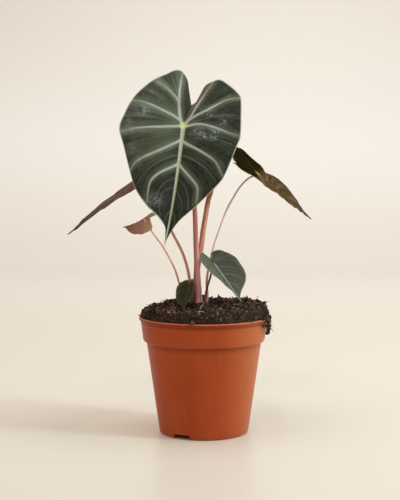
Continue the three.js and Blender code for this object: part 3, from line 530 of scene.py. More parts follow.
# Crumbs from near black to dry brown, darker in patches of a centimetre and in their pores.
crumb_look = Finish("soil_crumb", **{"Specular IOR Level": 0.3})
place = crumb_look.place()
speck = crumb_look.noise(place, 1100.0, 4.0, 0.6)
damp = crumb_look.noise(place, 95.0, 3.0).between(0.46, 0.6)
tone = crumb_look.mix(crumb_look.field("tint"), paint(40, 25, 13), paint(172, 122, 92))
crumb_look.feed("Base Color", crumb_look.over(
    tone, (damp * 0.72, paint(22, 13, 7)), (speck.between(0.4, 0.7) * 0.6, paint(20, 12, 6))))
crumb_look.feed("Roughness", 0.7 + speck * 0.3)
crumb_look.bump(speck, 0.7, 0.0005)
dress(crumbs, crumb_look, "potting_soil")

bark_look = Finish("bark_chip", Roughness=0.8)
layer = bark_look.noise(bark_look.stretched(bark_look.place(), (300.0, 700.0, 1500.0)), 1.0, 3.0)
tone = bark_look.mix(bark_look.field("tint"), paint(52, 32, 20), paint(112, 78, 54))
bark_look.feed("Base Color", bark_look.over(tone, (layer.between(0.45, 0.65) * 0.6, paint(38, 24, 16))))
bark_look.bump(layer, 0.6, 0.0004)
dress(chips, bark_look, "potting_soil")

grain_look = Finish("pale_grain", Roughness=0.8)
powder = grain_look.noise(grain_look.place(), 1500.0, 3.0)
tone = grain_look.mix(powder.between(0.35, 0.7), paint(150, 132, 114), paint(206, 190, 170))
grain_look.feed("Base Color", tone)
grain_look.bump(powder, 0.5, 0.0003)
dress(grains, grain_look, "potting_soil")

fibre_look = Finish("dry_fibre", Roughness=0.75)
spotted = fibre_look.noise(fibre_look.place(), 800.0, 2.0)
tone = fibre_look.mix(fibre_look.field("tint"), paint(84, 58, 42), paint(226, 198, 168))
fibre_look.feed("Base Color", fibre_look.over(tone, (spotted.between(0.4, 0.7) * 0.5, paint(48, 32, 22))))
dress(fibres, fibre_look, "potting_soil")

# The corm.
# The plant's underground stem with its thick roots, grown in the mix. It keeps its solid, under a papery skin
# in rings.

skin = Finish("corm_skin", Roughness=0.85)
place = skin.place()
rings_of_skin = skin.noise(skin.stretched(place, (60.0, 60.0, 700.0)), 1.0, 4.0)
flakes = skin.noise(place, 350.0, 5.0, 0.7)
tone = skin.mix(rings_of_skin.between(0.35, 0.65), paint(84, 58, 40), paint(136, 102, 72))
skin.feed("Base Color", skin.over(tone, (flakes.between(0.5, 0.7) * 0.6, paint(58, 38, 26))))
skin.bump(rings_of_skin + flakes, 0.5, 0.0006)
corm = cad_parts["corm_and_roots"]
corm.data.materials.clear()
corm.data.materials.append(skin.material)

# The leaves.
# Leathery heart-shaped blades, each one sheet with the stalk fixed behind the notch. Pale veins are sunk in
# the dark upper face and stand out of the browner lower one, and the blade swells between them.

# Tables of half a blade, from the notch round to the tip. A row is a curve from the midrib to the margin:
# the share of the midrib where it starts, x and y of the point that bends it, and x and y of its end. The
# template is in shares of the half width and the length, the others in millimetres from the stalk.
TEMPLATE = np.array([
    (0, 0, -0.09, 0, -0.18), (0, 0.06, -0.14, 0.08, -0.28), (0, 0.1, -0.2, 0.12, -0.4),
    (0, 0.13, -0.22, 0.22, -0.47), (0, 0.18, -0.24, 0.34, -0.47), (0, 0.24, -0.22, 0.5, -0.43),
    (0, 0.26, -0.2, 0.64, -0.36), (0, 0.36, -0.17, 0.8, -0.26), (0, 0.44, -0.15, 0.91, -0.14),
    (0, 0.5, -0.06, 0.98, -0.02), (0, 0.52, 0.02, 1, 0.1), (0.07, 0.55, 0.14, 0.93, 0.24),
    (0.15, 0.57, 0.27, 0.8, 0.4), (0.25, 0.52, 0.36, 0.64, 0.54), (0.35, 0.44, 0.42, 0.46, 0.66),
    (0.44, 0.32, 0.53, 0.29, 0.75), (0.53, 0.2, 0.64, 0.16, 0.82), (0.7, 0.09, 0.8, 0.07, 0.89),
    (0.86, 0.03, 0.93, 0.02, 0.95), (1, 0, 1, 0, 1)])
MAIN_LEFT = np.array([
    (0, -2.5, -10, -5, -21), (0, 0, -16, -2, -32.5), (0, 3.5, -24, 2, -48.5), (0, 6.5, -27, 7.5, -55.5),
    (0, 7.5, -30, 14, -55), (0, 8, -29, 21, -50.5), (0, 8, -27, 29, -44.5), (0, 16, -24, 41, -31.5),
    (0, 24, -18.5, 50, -18.5), (0, 28, -6, 55, -3), (0, 30, 5, 57.5, 10.5), (0.07, 32, 17, 51.5, 26.5),
    (0.145, 34, 32, 43.8, 47), (0.245, 31, 41, 36, 64.5), (0.345, 26.5, 46, 25, 77.5),
    (0.44, 19, 56, 17.5, 83.5), (0.53, 13, 65, 11, 89), (0.7, 8, 83, 5.8, 96), (0.86, 5, 100, 5, 104),
    (1, 5, 113, 5, 113)])
MAIN_RIGHT = np.array([
    (0, 2.5, -10, 5, -21), (0, 6, -15, 10, -25.5), (0, 7.5, -20, 12.5, -34.5), (0, 9, -22, 16, -42.5),
    (0, 10, -19.5, 24, -47.8), (0, 13, -20, 30, -48.2), (0, 16, -19, 38, -43.7), (0, 19, -18.5, 45, -38),
    (0, 24, -22, 49.5, -31), (0, 25, -12, 51.5, -14), (0, 25, -6, 52.8, 5.5), (0.07, 28, 10, 50.5, 16),
    (0.145, 30, 26, 43, 42.5), (0.245, 27, 36, 37, 53.5), (0.345, 22, 50, 20, 74),
    (0.44, 15, 60, 12.5, 82), (0.53, 9, 70, 6.5, 88.5), (0.7, 4, 85, 1, 97), (0.86, -1, 100, -3, 106),
    (1, -5, 113, -5, 113)])
SMALL_LEFT_LOWER = np.array([
    (0, 0, -1.4742, 0, -2.9484), (0, 0.9, -2.3, 1.2, -4.6), (0, 1.4, -3.3, 1.7, -6.6),
    (0, 1.9, -3.6, 3.2, -7.7), (0, 2.8, -4.2, 5.6, -8.2), (0, 4.2, -4.6, 9.5, -9.4),
    (0, 6.0, -4.6, 14.5, -10.4), (0, 8.0, -4.2, 20.5, -10.8), (0, 8.8, -3.0, 19.5, -6.0),
    (0, 8.2, -1.4, 16.5, -1.0), (0, 7.6, 0.4, 15.2, 3.0), (0.07, 7.9, 3.4, 13.8, 6.2),
    (0.15, 8.2, 6.7, 11.8, 10.4), (0.25, 7.5, 9.4, 9.4, 14.2), (0.35, 6.3, 10.9, 7.0, 17.6),
    (0.44, 4.6, 13.8, 4.6, 19.9), (0.53, 2.9, 16.6, 2.5, 21.6), (0.7, 1.3, 20.8, 1.0, 23.2),
    (0.86, 0.4, 24.2, 0.3, 24.7), (1, 0, 26, 0, 26)])
SMALL_FRONT_RIGHT = np.array([
    (0, 0, -0.2934, 0, -0.5868), (0, 0.3, -0.6, 0.5, -1.2), (0, 0.5, -0.9, 0.9, -1.9),
    (0, 0.8, -1.2, 1.4, -2.4), (0, 1.2, -1, 2.2, -2), (0, 1.6, -0.6, 3, -1.3), (0, 1.9, -0.3, 3.7, -0.5),
    (0, 2.2, 0.2, 4.2, 0.6), (0, 2.5, 0.7, 4.8, 2), (0, 2.9, 1.4, 5.5, 3.8), (0, 3.3, 2.4, 6.2, 5.8),
    (0.07, 3.9, 4.9, 6.9, 8.6), (0.15, 4.4, 8.6, 7.6, 12.6), (0.25, 4.6, 11.6, 7.9, 16.4),
    (0.35, 4.5, 13.6, 7.3, 19.8), (0.44, 3.6, 17, 5.3, 23.6), (0.53, 2.2, 20.6, 3, 25.9),
    (0.7, 1.1, 25.9, 1.1, 28.6), (0.86, 0.45, 30.2, 0.35, 30.8), (1, 0, 32.6, 0, 32.6)])
LAST_PLACE = len(TEMPLATE) - 1
PRIMARY_PLACES = (3, 6, 8, 10, 12, 14, 16)
FAINT_PLACES = (4.6, 7, 9, 11, 13, 15, 17)
FULL_LENGTH = 110
MIDDLE_THICKNESS, MARGIN_LOSS = 0.5, 0.28
SWELL_HEIGHT, SWELL_REACH = 1.1, 7
VEIN_DIP, VEIN_DIP_REACH = 0.5, 1.3
FAINT_SWELL, FAINT_REACH = 0.16, 1.6
PUCKER_REACH = 5.5
COCKLE_HEIGHT, COCKLE_CELL = 0.45, 8.0
FINE_COCKLE_HEIGHT, FINE_COCKLE_CELL = 0.2, 3.6
GROOVE_DEPTH, GROOVE_SIDE, GROOVE_REACH = 0.35, 0.5, 0.7
MIDRIB_RISE, MIDRIB_REACH = 1.0, 1.3
RIB_RISE, RIB_REACH = 0.45, 0.8


def smooth_rows(table, place):
    """Rows of a table at places between its rows, by a curve through the two before and the two after."""
    last = len(table) - 1
    i = np.clip(np.floor(place).astype(int), 0, last - 1)
    f = (place - i)[:, None]
    p, q, r, s = (table[np.clip(i + k, 0, last)] for k in (-1, 0, 1, 2))
    square, cube = 2 * p - 5 * q + 4 * r - s, 3 * q - p - 3 * r + s
    return 0.5 * (2 * q + (r - p) * f + square * f ** 2 + cube * f ** 3)


def flat_blade(leaf, side, place, share):
    """A point of one half of the flat blade, x across and y along from the stalk: on the curve at a place
    from the notch round to the tip, a share of the way from the midrib to the margin. The curve is a
    quadratic bend."""
    table = leaf["halves"][0 if side > 0 else 1]
    start, bend_x, bend_y, edge_x, edge_y = smooth_rows(table, place).T[..., None]
    start = np.clip(start, 0, 1)
    w = [(1 - share) ** 2, 2 * share * (1 - share), share ** 2]
    x = w[0] * side * leaf["sway"] * start ** 3 + w[1] * bend_x + w[2] * edge_x
    y = w[0] * start * leaf["length"] + w[1] * bend_y + w[2] * edge_y
    return side * x, y


def leaf_directions(leaf):
    """Across, along to the tip, and out of the upper face, from the heading, the rise and the roll."""
    heading, rise, roll = np.radians([leaf["heading"], leaf["rise"], leaf["roll"]])
    along = np.array([np.sin(heading) * np.cos(rise), np.cos(heading) * np.cos(rise), np.sin(rise)])
    up = np.array([0, 0, 1]) - along * along[2]
    up /= np.linalg.norm(up)
    normal = up * np.cos(roll) + np.cross(along, up) * np.sin(roll)
    return np.cross(along, normal), along, normal


def stand_up(leaf, x, y, raised):
    """Flat points in space. The blade is folded along the midrib and its sides curl down, which gives a
    height over the flat. Then it is bent along its length, on one circle towards the tip and on one towards
    the lobes."""
    across, along, normal = leaf_directions(leaf)
    from_midrib = np.abs(x - leaf["sway"] * np.clip(y / leaf["length"], 0, 1) ** 3)
    height = leaf["fold"] * from_midrib - leaf["curl"] * from_midrib ** 2 / leaf["half_width"] + raised
    bend = np.radians(np.where(y >= 0, leaf["tip_arch"], leaf["lobe_arch"])) / leaf["length"]
    forward = np.sin(bend * y) / bend + np.sin(bend * y) * height
    lift = -(1 - np.cos(bend * y)) / bend + np.cos(bend * y) * height
    x, forward, lift = x[..., None], forward[..., None], lift[..., None]
    return np.array(leaf["at"]) + x * across + forward * along + lift * normal


def fine_line(points, count=26):
    """A flat line through points, made smooth with the curve of the table rows, then rounded off at its bends
    by moving each point towards its neighbours, many times."""
    points = np.asarray(points, float)
    line = smooth_rows(points, np.linspace(0, len(points) - 1.0001, count))
    for _ in range(12):
        line[1:-1] = (line[:-2] + 2 * line[1:-1] + line[2:]) / 4
    return line


def to_lines(x, y, lines, widths):
    """For flat points, the distance to the nearest line and the least distance to an edge of a line. The
    latter is the distance to a line's segments, less a half width that tapers from its start to its end."""
    near, edge = np.full(x.shape, 99.0), np.full(x.shape, 99.0)
    for line, (wide, narrow) in zip(lines, widths):
        a, d = line[:-1], np.diff(line, axis=0)
        px, py = x[..., None] - a[:, 0], y[..., None] - a[:, 1]
        t = np.clip((px * d[:, 0] + py * d[:, 1]) / (d ** 2).sum(1), 0, 1)
        gap = np.hypot(px - t * d[:, 0], py - t * d[:, 1])
        best = gap.argmin(-1)[..., None]
        gap = np.take_along_axis(gap, best, -1)[..., 0]
        share = (best[..., 0] + np.take_along_axis(t, best, -1)[..., 0]) / len(a)
        near = np.minimum(near, gap)
        edge = np.minimum(edge, gap - (wide + (narrow - wide) * share ** 0.7))
    return near, edge


def blade_lines(leaf, places, start_share=0.0, end_share=0.96):
    """The lines of both halves at given places of the table, from the midrib to just short of the margin."""
    share = np.linspace(start_share, end_share, 26)[None]
    found = []
    for side in (1, -1):
        x, y = flat_blade(leaf, side, np.array(places, float), share)
        found += [np.column_stack([a, b]) for a, b in zip(x, y)]
    return found


def blade_middle(leaf):
    """The midrib's line on the flat blade: straight on from the stalk, and swung to one side by a cube."""
    s = np.linspace(0, 1, 40)
    return np.column_stack([leaf["sway"] * s ** 3, leaf["length"] * s * 0.995])


def make_blade(name, leaf, columns, rows):
    """A closed blade: a grid over both halves from the left margin over the midrib to the right one, for the
    upper face and, a blade's thickness below it, for the lower face, with a strip round the margin. The upper
    face dips at the veins and swells between them; the lower face has a rib under each vein."""
    place, share = np.linspace(0, LAST_PLACE, columns + 1), np.linspace(0, 1, rows + 1)
    left = flat_blade(leaf, 1, place, share[None])
    right = flat_blade(leaf, -1, place, share[None])
    x, y = (np.concatenate([a[:, ::-1], b[:, 1:]], 1) for a, b in zip(left, right))
    from_midrib = np.concatenate([share[::-1], share[1:]])[None] + 0 * x
    side = np.concatenate([np.ones(rows + 1), -np.ones(rows)])[None]
    turn = place[:, None]
    scale = leaf["length"] / FULL_LENGTH
    near, edge = to_lines(x, y, leaf["veins"], leaf["vein_widths"])
    faint_widths = [(0.35 * scale, 0.15 * scale)] * len(leaf["faint_veins"])
    _, faint = to_lines(x, y, leaf["faint_veins"], faint_widths)
    middle = blade_middle(leaf)
    to_middle, _ = to_lines(x, y, [middle], [(1, 1)])
    _, rib_edge = to_lines(x, y, [middle], [leaf["midrib_width"]])
    near_tip = np.minimum(1, (LAST_PLACE - turn) / 2)
    wave = leaf["wave"] * near_tip * np.minimum(1, turn / 2) * from_midrib ** 2
    wave = wave * np.sin(turn * (1.9 + 0.2 * side))
    for half, where, lift, reach in leaf.get("ripples", ()):
        ripple = lift * near_tip * (side == half) * from_midrib ** 2 * np.exp(-((y - where) / reach) ** 2)
        wave = wave + ripple
    pucker = np.zeros(x.shape)
    for px, py, strength in leaf.get("puckers", ()):
        pucker = np.maximum(pucker, strength * np.exp(-(np.hypot(x - px, y - py) / PUCKER_REACH) ** 2))
    middle_share = 4 * from_midrib * (1 - from_midrib) + 0.25 * from_midrib
    fade = leaf["relief"] * near_tip * np.minimum(1, middle_share)
    reach = SWELL_REACH * scale ** 0.5
    swell = SWELL_HEIGHT * (1 - np.exp(-(np.minimum(near, to_middle) / reach) ** 2))
    dip = VEIN_DIP * np.exp(-(near / VEIN_DIP_REACH) ** 2)
    small = FAINT_SWELL * (1 - np.exp(-(np.maximum(faint, 0) / FAINT_REACH) ** 2))
    cockle = COCKLE_HEIGHT * smooth_noise(x, y, COCKLE_CELL * scale ** 0.5, 11)
    fine_cockle = smooth_noise(x, y, FINE_COCKLE_CELL * scale ** 0.5, 12)
    cockle += FINE_COCKLE_HEIGHT * (1 + 1.8 * pucker) * fine_cockle
    top = wave + fade * (swell - dip + small) + cockle * near_tip * from_midrib * leaf["relief"]
    groove = GROOVE_DEPTH * np.exp(-((to_middle - GROOVE_SIDE) / GROOVE_REACH) ** 2)
    groove = groove * near_tip * leaf["relief"]
    ribs = MIDRIB_RISE * np.exp(-(to_middle / MIDRIB_REACH) ** 2)
    ribs = ribs + RIB_RISE * np.exp(-(near / RIB_REACH) ** 2)
    rib = leaf["relief"] * near_tip * ribs
    thick = MIDDLE_THICKNESS - MARGIN_LOSS * from_midrib ** 6
    upper = stand_up(leaf, x, y, top - groove)
    lower = stand_up(leaf, x, y, top - thick - rib)
    width = 2 * rows + 1
    cells = join_rings(columns + 1, width, closed=False)
    count = upper.size // 3
    first = np.arange(columns + 1) * width
    margin = np.concatenate([first, (first + width - 1)[::-1]])
    a, b = margin[:-1], margin[1:]
    strip = np.concatenate([np.stack([a, b, b + count], -1), np.stack([a, b + count, a + count], -1)])
    points = np.concatenate([upper.reshape(-1, 3), lower.reshape(-1, 3)])
    triangles = np.concatenate([cells, cells[:, ::-1] + count, strip])
    step_x, step_y = (np.diff(v, axis=1, append=v[:, -1:]) for v in (x, y))
    curve_length = np.hypot(step_x, step_y).sum(1)[:, None] / 2
    fields = {
        "vein": edge, "faint": faint, "midrib": rib_edge, "margin": (1 - from_midrib) * curve_length,
        "off_middle": x - leaf["sway"] * np.clip(y / leaf["length"], 0, 1) ** 3, "along": y,
        "from_stalk": np.hypot(x, y), "flow": turn + 0 * x, "share": from_midrib, "pucker": pucker,
    }
    both = {field: np.concatenate([values.reshape(-1)] * 2) for field, values in fields.items()}
    both["upper"] = np.concatenate([np.ones(count), np.zeros(count)])
    return make_piece(name, points, triangles, both)


def leaf_finish(name, look):
    """Leaf skin, from the base up. The upper face has streaks that run with the veins, a left half painted
    paler as painted light, which can fade along the blade, and darker areas between the veins. Lobes, a strip
    on the right by the notch, the outer part of the right half and the tip have colours where the look names
    them;
    the olive blade's dark lobes and the brown blade's darker outer part are painted shade. Over these lie a
    halo by the veins, painted glints and flecks of reflection on the puckers, a fine net, faint veins, veins,
    the midrib, the joint at the stalk and a pale margin. The lower face has its own streaks, ribs and net."""
    finish = Finish(name, **{"Specular IOR Level": look["gloss"], "Coat Roughness": 0.09, "Coat IOR": 1.45})
    colour = {part: paint(*value) for part, value in look.items() if isinstance(value, tuple)}
    halo, rib = colour["halo"], colour["under_vein"]
    fields = ("upper", "vein", "along", "off_middle", "flow", "share", "pucker")
    upper, edge, along, across, turn, share, pucker = (finish.field(field) for field in fields)
    flow = finish.node("ShaderNodeCombineXYZ", {}, {0: turn, 1: share})
    flat = finish.node("ShaderNodeCombineXYZ", {}, {0: across, 1: along})
    streak = finish.noise(finish.stretched(flow, (4.4, 1.1, 1.0)), 1.0, 4.0, 0.55)
    fine_streak = finish.noise(finish.stretched(flow, (17.0, 1.8, 1.0)), 1.0, 2.0, 0.5)
    broad = finish.noise(finish.stretched(flow, (1.9, 1.2, 1.0)), 1.0, 2.0)
    cloud = finish.noise(finish.place(), 45.0, 3.0)
    wander = finish.node("ShaderNodeTexNoise", {}, {"Vector": flat, "Scale": 0.3, "Detail": 2.0}, 1)
    wander = finish.stretched(wander, (1.6, 1.6, 0.0))
    warp = finish.node("ShaderNodeVectorMath", {"operation": "ADD"},
                       {0: finish.stretched(flat, (0.34, 0.34, 1.0)), 1: wander})
    net = finish.node("ShaderNodeTexVoronoi", {"feature": "DISTANCE_TO_EDGE"}, {"Vector": warp, "Scale": 1.0})
    net_line = 1 - net.between(0.0, 0.16)
    # Painted light: the left half is painted paler, the sheen where the folded blade faces the light; it
    # fades along the blade.
    painted_left_sheen = across.between(-4.0, 14.0) * (1 - along.between(10.0, 60.0) * look.get("lit_left_fade", 0.0))
    between_veins = edge.between(1.5, 8.0) * 0.35 + broad.between(0.42, 0.66) * 0.5
    tone = finish.over(
        finish.mix(streak.between(0.38, 0.64), colour["dark"], colour["mid"]),
        (painted_left_sheen * look["lit_left_share"], colour["lit_left_half"]),
        (fine_streak.between(0.5, 0.75) * 0.25, halo),
        (between_veins * look["contrast"], colour["dark"]))
    vein_share = look["vein_share"]
    if "lobe" in colour:
        lobe_tone = finish.mix(streak.between(0.3, 0.7), colour["lobe"], colour["lobe_light"])
        low, high, slant = look["lobe_edge"]
        ahead = (along + across * slant).between(low, high)
        tone = finish.mix(ahead, lobe_tone, tone)
        vein_share = (look["lobe_stripes"] + ahead * (1 - look["lobe_stripes"])) * vein_share
    if "inner" in colour:
        right_half = 1 - (across - along * 0.24).between(-1.5, 0.5)
        tone = finish.mix((1 - turn.between(3.4, 5.0)) * right_half * 0.75, tone, colour["inner"])
    # Painted shade: the outer part of the right half is painted darker, for the shade of its curled margin.
    if "outer" in colour:
        right_half = 1 - across.between(-1.0, 1.0)
        tone = finish.mix(share.between(0.35, 0.9) * right_half * 0.75, tone, colour["outer"])
    if "tip" in colour:
        tip = along.between(*look["tip_edge"])
        tone = finish.mix(tip, tone, colour["tip"])
    # Painted reflection: bluish glints and white flecks painted on the puckers, where the window light would
    # catch them.
    painted_glint_patch = finish.noise(finish.stretched(flat, (0.26, 0.42, 1.0)), 1.0, 4.0, 0.62).between(0.42, 0.62)
    flecks = finish.noise(finish.stretched(flat, (0.8, 1.1, 1.0)), 1.0, 3.0, 0.6).between(0.56, 0.66)
    faint = (1 - finish.field("faint").between(-0.4, 0.9)) * fine_streak.between(0.3, 0.6)
    vein = (1 - edge.between(-0.8, 0.9)) * (1 - share.between(0.5, 1.0) * 0.6)
    midrib = 1 - finish.field("midrib").between(-0.5, 0.5)
    joint = 1 - finish.field("from_stalk").between(0.8, look.get("joint_reach", 4.6))
    margin = 1 - finish.field("margin").between(0.45, 1.25)
    tone = finish.over(
        tone,
        ((1 - edge.between(0.0, 5.0)) * (0.45 * vein_share) * cloud.between(0.2, 0.6), halo),
        (painted_glint_patch * pucker * 0.6, colour.get("painted_glint", halo)),
        (flecks * pucker * 0.55, colour.get("fleck", halo)),
        (net_line * 0.07, halo),
        (faint * (0.5 * vein_share), halo),
        (vein * vein_share, colour["vein"]),
        (midrib * look["midrib_share"],
         finish.mix(across.between(-0.5, 0.5), colour["midrib"], colour["vein"])),
        (joint, colour["joint"]),
        (margin * 0.85, colour["vein"]))
    below = finish.over(
        finish.mix(streak.between(0.35, 0.7) * 0.5, colour["under"], rib),
        (fine_streak.between(0.45, 0.75) * 0.3, colour["under"]),
        ((1 - edge.between(-0.5, 0.5)) * 0.8, rib),
        (midrib, rib),
        (net_line * 0.2, rib))
    if "lobe" in colour:
        stripes = finish.mix((1 - edge.between(-0.3, 0.4)) * look["lobe_stripes"], lobe_tone, rib)
        below = finish.mix(1 - (1 - ahead) * look["lobe_below"], stripes, below)
        if "tip" in colour:
            below = finish.mix(tip * 0.8, below, colour["tip"])
    finish.feed("Base Color", finish.mix(upper, below, tone))
    finish.feed("Roughness", look["roughness"] + cloud * 0.1 + fine_streak * 0.08)
    wet = finish.noise(finish.stretched(flat, (0.05, 0.05, 1.0)), 1.0, 2.0)
    finish.feed("Coat Weight", (wet.between(0.35, 0.7) * 0.15 + pucker) * look["coat"])
    finish.bump(streak + fine_streak * 0.25 + net.between(0.0, 0.4) * 0.25, look["bump"], 0.0008)
    return finish


def from_template(length, half_width, lobe=1.0, asymmetry=0.0, filled=0.0):
    """The two halves of a smaller leaf: the template in millimetres, with lobes shortened to a share, one
    half widened and the other narrowed, and the notch filled to a share of the way to the third row."""
    halves = []
    for side in (1, -1):
        table = TEMPLATE.copy()
        table[:2, 4] += (TEMPLATE[2, 4] - table[:2, 4]) * filled
        table[:, [1, 3]] *= half_width * (1 + side * asymmetry)
        heights = table[:, [2, 4]] * length
        table[:, [2, 4]] = np.where(heights < 0, heights * lobe, heights)
        halves.append(table)
    return halves


# The shape of each blade: where the stalk meets it, where it points, how far it rises and rolls, its size,
# and how it folds along the midrib, curls at the sides, sways, arches, waves and swells between its veins.
leaves = {
    "leaf_main": dict(
        at=(-18.7, -14, 285), heading=198, rise=-68.9, roll=-16.9, length=114, half_width=55, fold=0.22,
        curl=0.16, sway=5, tip_arch=18, lobe_arch=26, wave=0.8, relief=1.0, midrib_width=(2.1, 0.5),
        halves=[MAIN_LEFT, MAIN_RIGHT],
        puckers=[
            (37, -9.5, 1.0), (49, 6.9, 0.4), (-20.2, -14.3, 0.6), (-35.9, -5.5, 0.6), (-13.7, 6.9, 1.0),
            (17.2, 72.4, 0.9), (-29.2, 2.8, 0.7), (42.3, 29.7, 0.4)]),
    "leaf_back": dict(
        at=(-3.6, 34, 268.8), heading=-45, rise=-45, roll=-20, length=88, half_width=38.7, fold=0.2,
        curl=0.15, sway=2, tip_arch=30, lobe_arch=40, wave=0.6, relief=1.0, midrib_width=(1.7, 0.4),
        halves=from_template(88, 38.7, 0.85)),
    "leaf_right": dict(
        at=(51.8, 24, 240.4), heading=45.5, rise=-27.6, roll=36.8, length=90.5, half_width=38.2,
        fold=0.132, curl=0.055, sway=2.5, tip_arch=3.3, lobe_arch=34, wave=0.5, relief=0.9,
        midrib_width=(1.6, 0.4),
        halves=from_template(90.5, 38.2, 0.95, filled=1.0),
        ripples=[(-1, 29, -3.8, 6.5), (-1, 57, 3.4, 14)]),
    "leaf_left": dict(
        at=(-52.4, 31, 241.8), heading=-67.2, rise=-32.3, roll=-9.7, length=108.5, half_width=46.2,
        fold=0.11, curl=0.187, sway=3.1, tip_arch=3.7, lobe_arch=51.9, wave=0.15, relief=0.9,
        midrib_width=(1.7, 0.4),
        halves=from_template(108.5, 46.2, 0.62)),
    "leaf_small_left": dict(
        at=(-54.3, -14, 200.1), heading=-52.9, rise=-28.9, roll=147, length=26, half_width=14.4,
        fold=0.44, curl=0.006, sway=-0.3, tip_arch=21, lobe_arch=59, wave=0.3, relief=0.45,
        midrib_width=(0.8, 0.25),
        halves=[SMALL_LEFT_LOWER, from_template(26, 14.4, 0.63)[1]]),
    "leaf_small_right": dict(
        at=(7.8, -14, 160.7), heading=136.4, rise=-40.6, roll=1.5, length=49.8, half_width=25.5,
        fold=0.438, curl=0.359, sway=0.75, tip_arch=2.8, lobe_arch=21.6, wave=0.3, relief=0.5,
        midrib_width=(1.0, 0.3),
        halves=from_template(49.8, 25.5, 0.457, -0.297)),
    "leaf_small_front": dict(
        at=(-12.9, -12, 142.5), heading=200.4, rise=-46.8, roll=20.4, length=32.6, half_width=13.3,
        fold=0.315, curl=0.37, sway=-0.9, tip_arch=10, lobe_arch=45.8, wave=0.2, relief=0.4,
        midrib_width=(0.8, 0.25),
        halves=[from_template(32.6, 13.3, 0.1, 0.3)[0], SMALL_FRONT_RIGHT]),
}
for name, leaf in leaves.items():
    scale = leaf["length"] / FULL_LENGTH
    leaf["veins"] = blade_lines(leaf, PRIMARY_PLACES)
    leaf["vein_widths"] = [(1.1 * scale, 0.4 * scale)] * len(leaf["veins"])
    leaf["faint_veins"] = blade_lines(leaf, FAINT_PLACES, 0.05, 0.9)

# The large leaf's own veins, in flat millimetres from the stalk, left half and then right half.
main_veins = [
    [(1.5, -1), (4.2, -8), (5.8, -16.6), (7.6, -31), (7.4, -45.7), (7.2, -53)],
    [(6.6, -21), (9.6, -27.1), (19.3, -34.8), (28.9, -40.4)],
    [(0.5, -1), (7.3, -7.6), (23.7, -12.8), (36.7, -18.3), (49, -18.4)],
    [(0, 0.5), (4.5, 1.4), (23.2, 5), (36.1, 7.1), (46.2, 9.5), (56, 13.5)],
    [(0.4, 14), (3.5, 16.5), (20.4, 27.8), (32.6, 34.7), (38.9, 39.8), (42.5, 47.5)],
    [(1.5, 37.5), (3.5, 39.5), (14.9, 45.7), (21, 51.7), (24, 56.5), (24.7, 64.4), (24.3, 75)],
    [(2.4, 59), (4.6, 60.1), (9.5, 62.5), (12.4, 67.2), (13.5, 77), (11, 86)],
    [(-1.5, -2), (-6.5, -10.1), (-9.1, -18), (-13.4, -27), (-17.5, -36.3), (-22.6, -45.5)],
    [(-2, -3), (-7.5, -9.2), (-20.7, -16.6), (-30.4, -24.1), (-37.8, -29.4), (-48.6, -31.3)],
    [(-0.5, 0.8), (-5.1, 0.4), (-10.9, -2.7), (-21.3, -2.3), (-33.1, 1.3), (-42.1, 4), (-51.5, 5.3)],
    [(-0.2, 14.5), (-3.1, 17.1), (-13.6, 21.1), (-22.8, 25.9), (-32.9, 31.1), (-37.1, 38.2), (-40.5, 45)],
    [(0.3, 36.5), (-1.7, 38.9), (-7.6, 44.8), (-17.3, 53.7), (-20.4, 58.7), (-19.7, 72)],
    [(1.4, 58), (-2.5, 64), (-6.5, 71), (-7.3, 78), (-6, 85.5)],
]
main_lines = [fine_line(line) for line in main_veins]
leaves["leaf_main"]["veins"] = main_lines[:6] + main_lines[7:12]
leaves["leaf_main"]["faint_veins"] += [main_lines[6], main_lines[12]]
leaves["leaf_main"]["vein_widths"] = [
    (1.5, 0.8), (0.8, 0.4), (1.3, 0.5), (1.35, 0.5), (1.3, 0.6), (1.25, 0.6),
    (0.9, 0.5), (1.3, 0.5), (1.2, 0.5), (1.3, 0.5), (1.2, 0.5)]
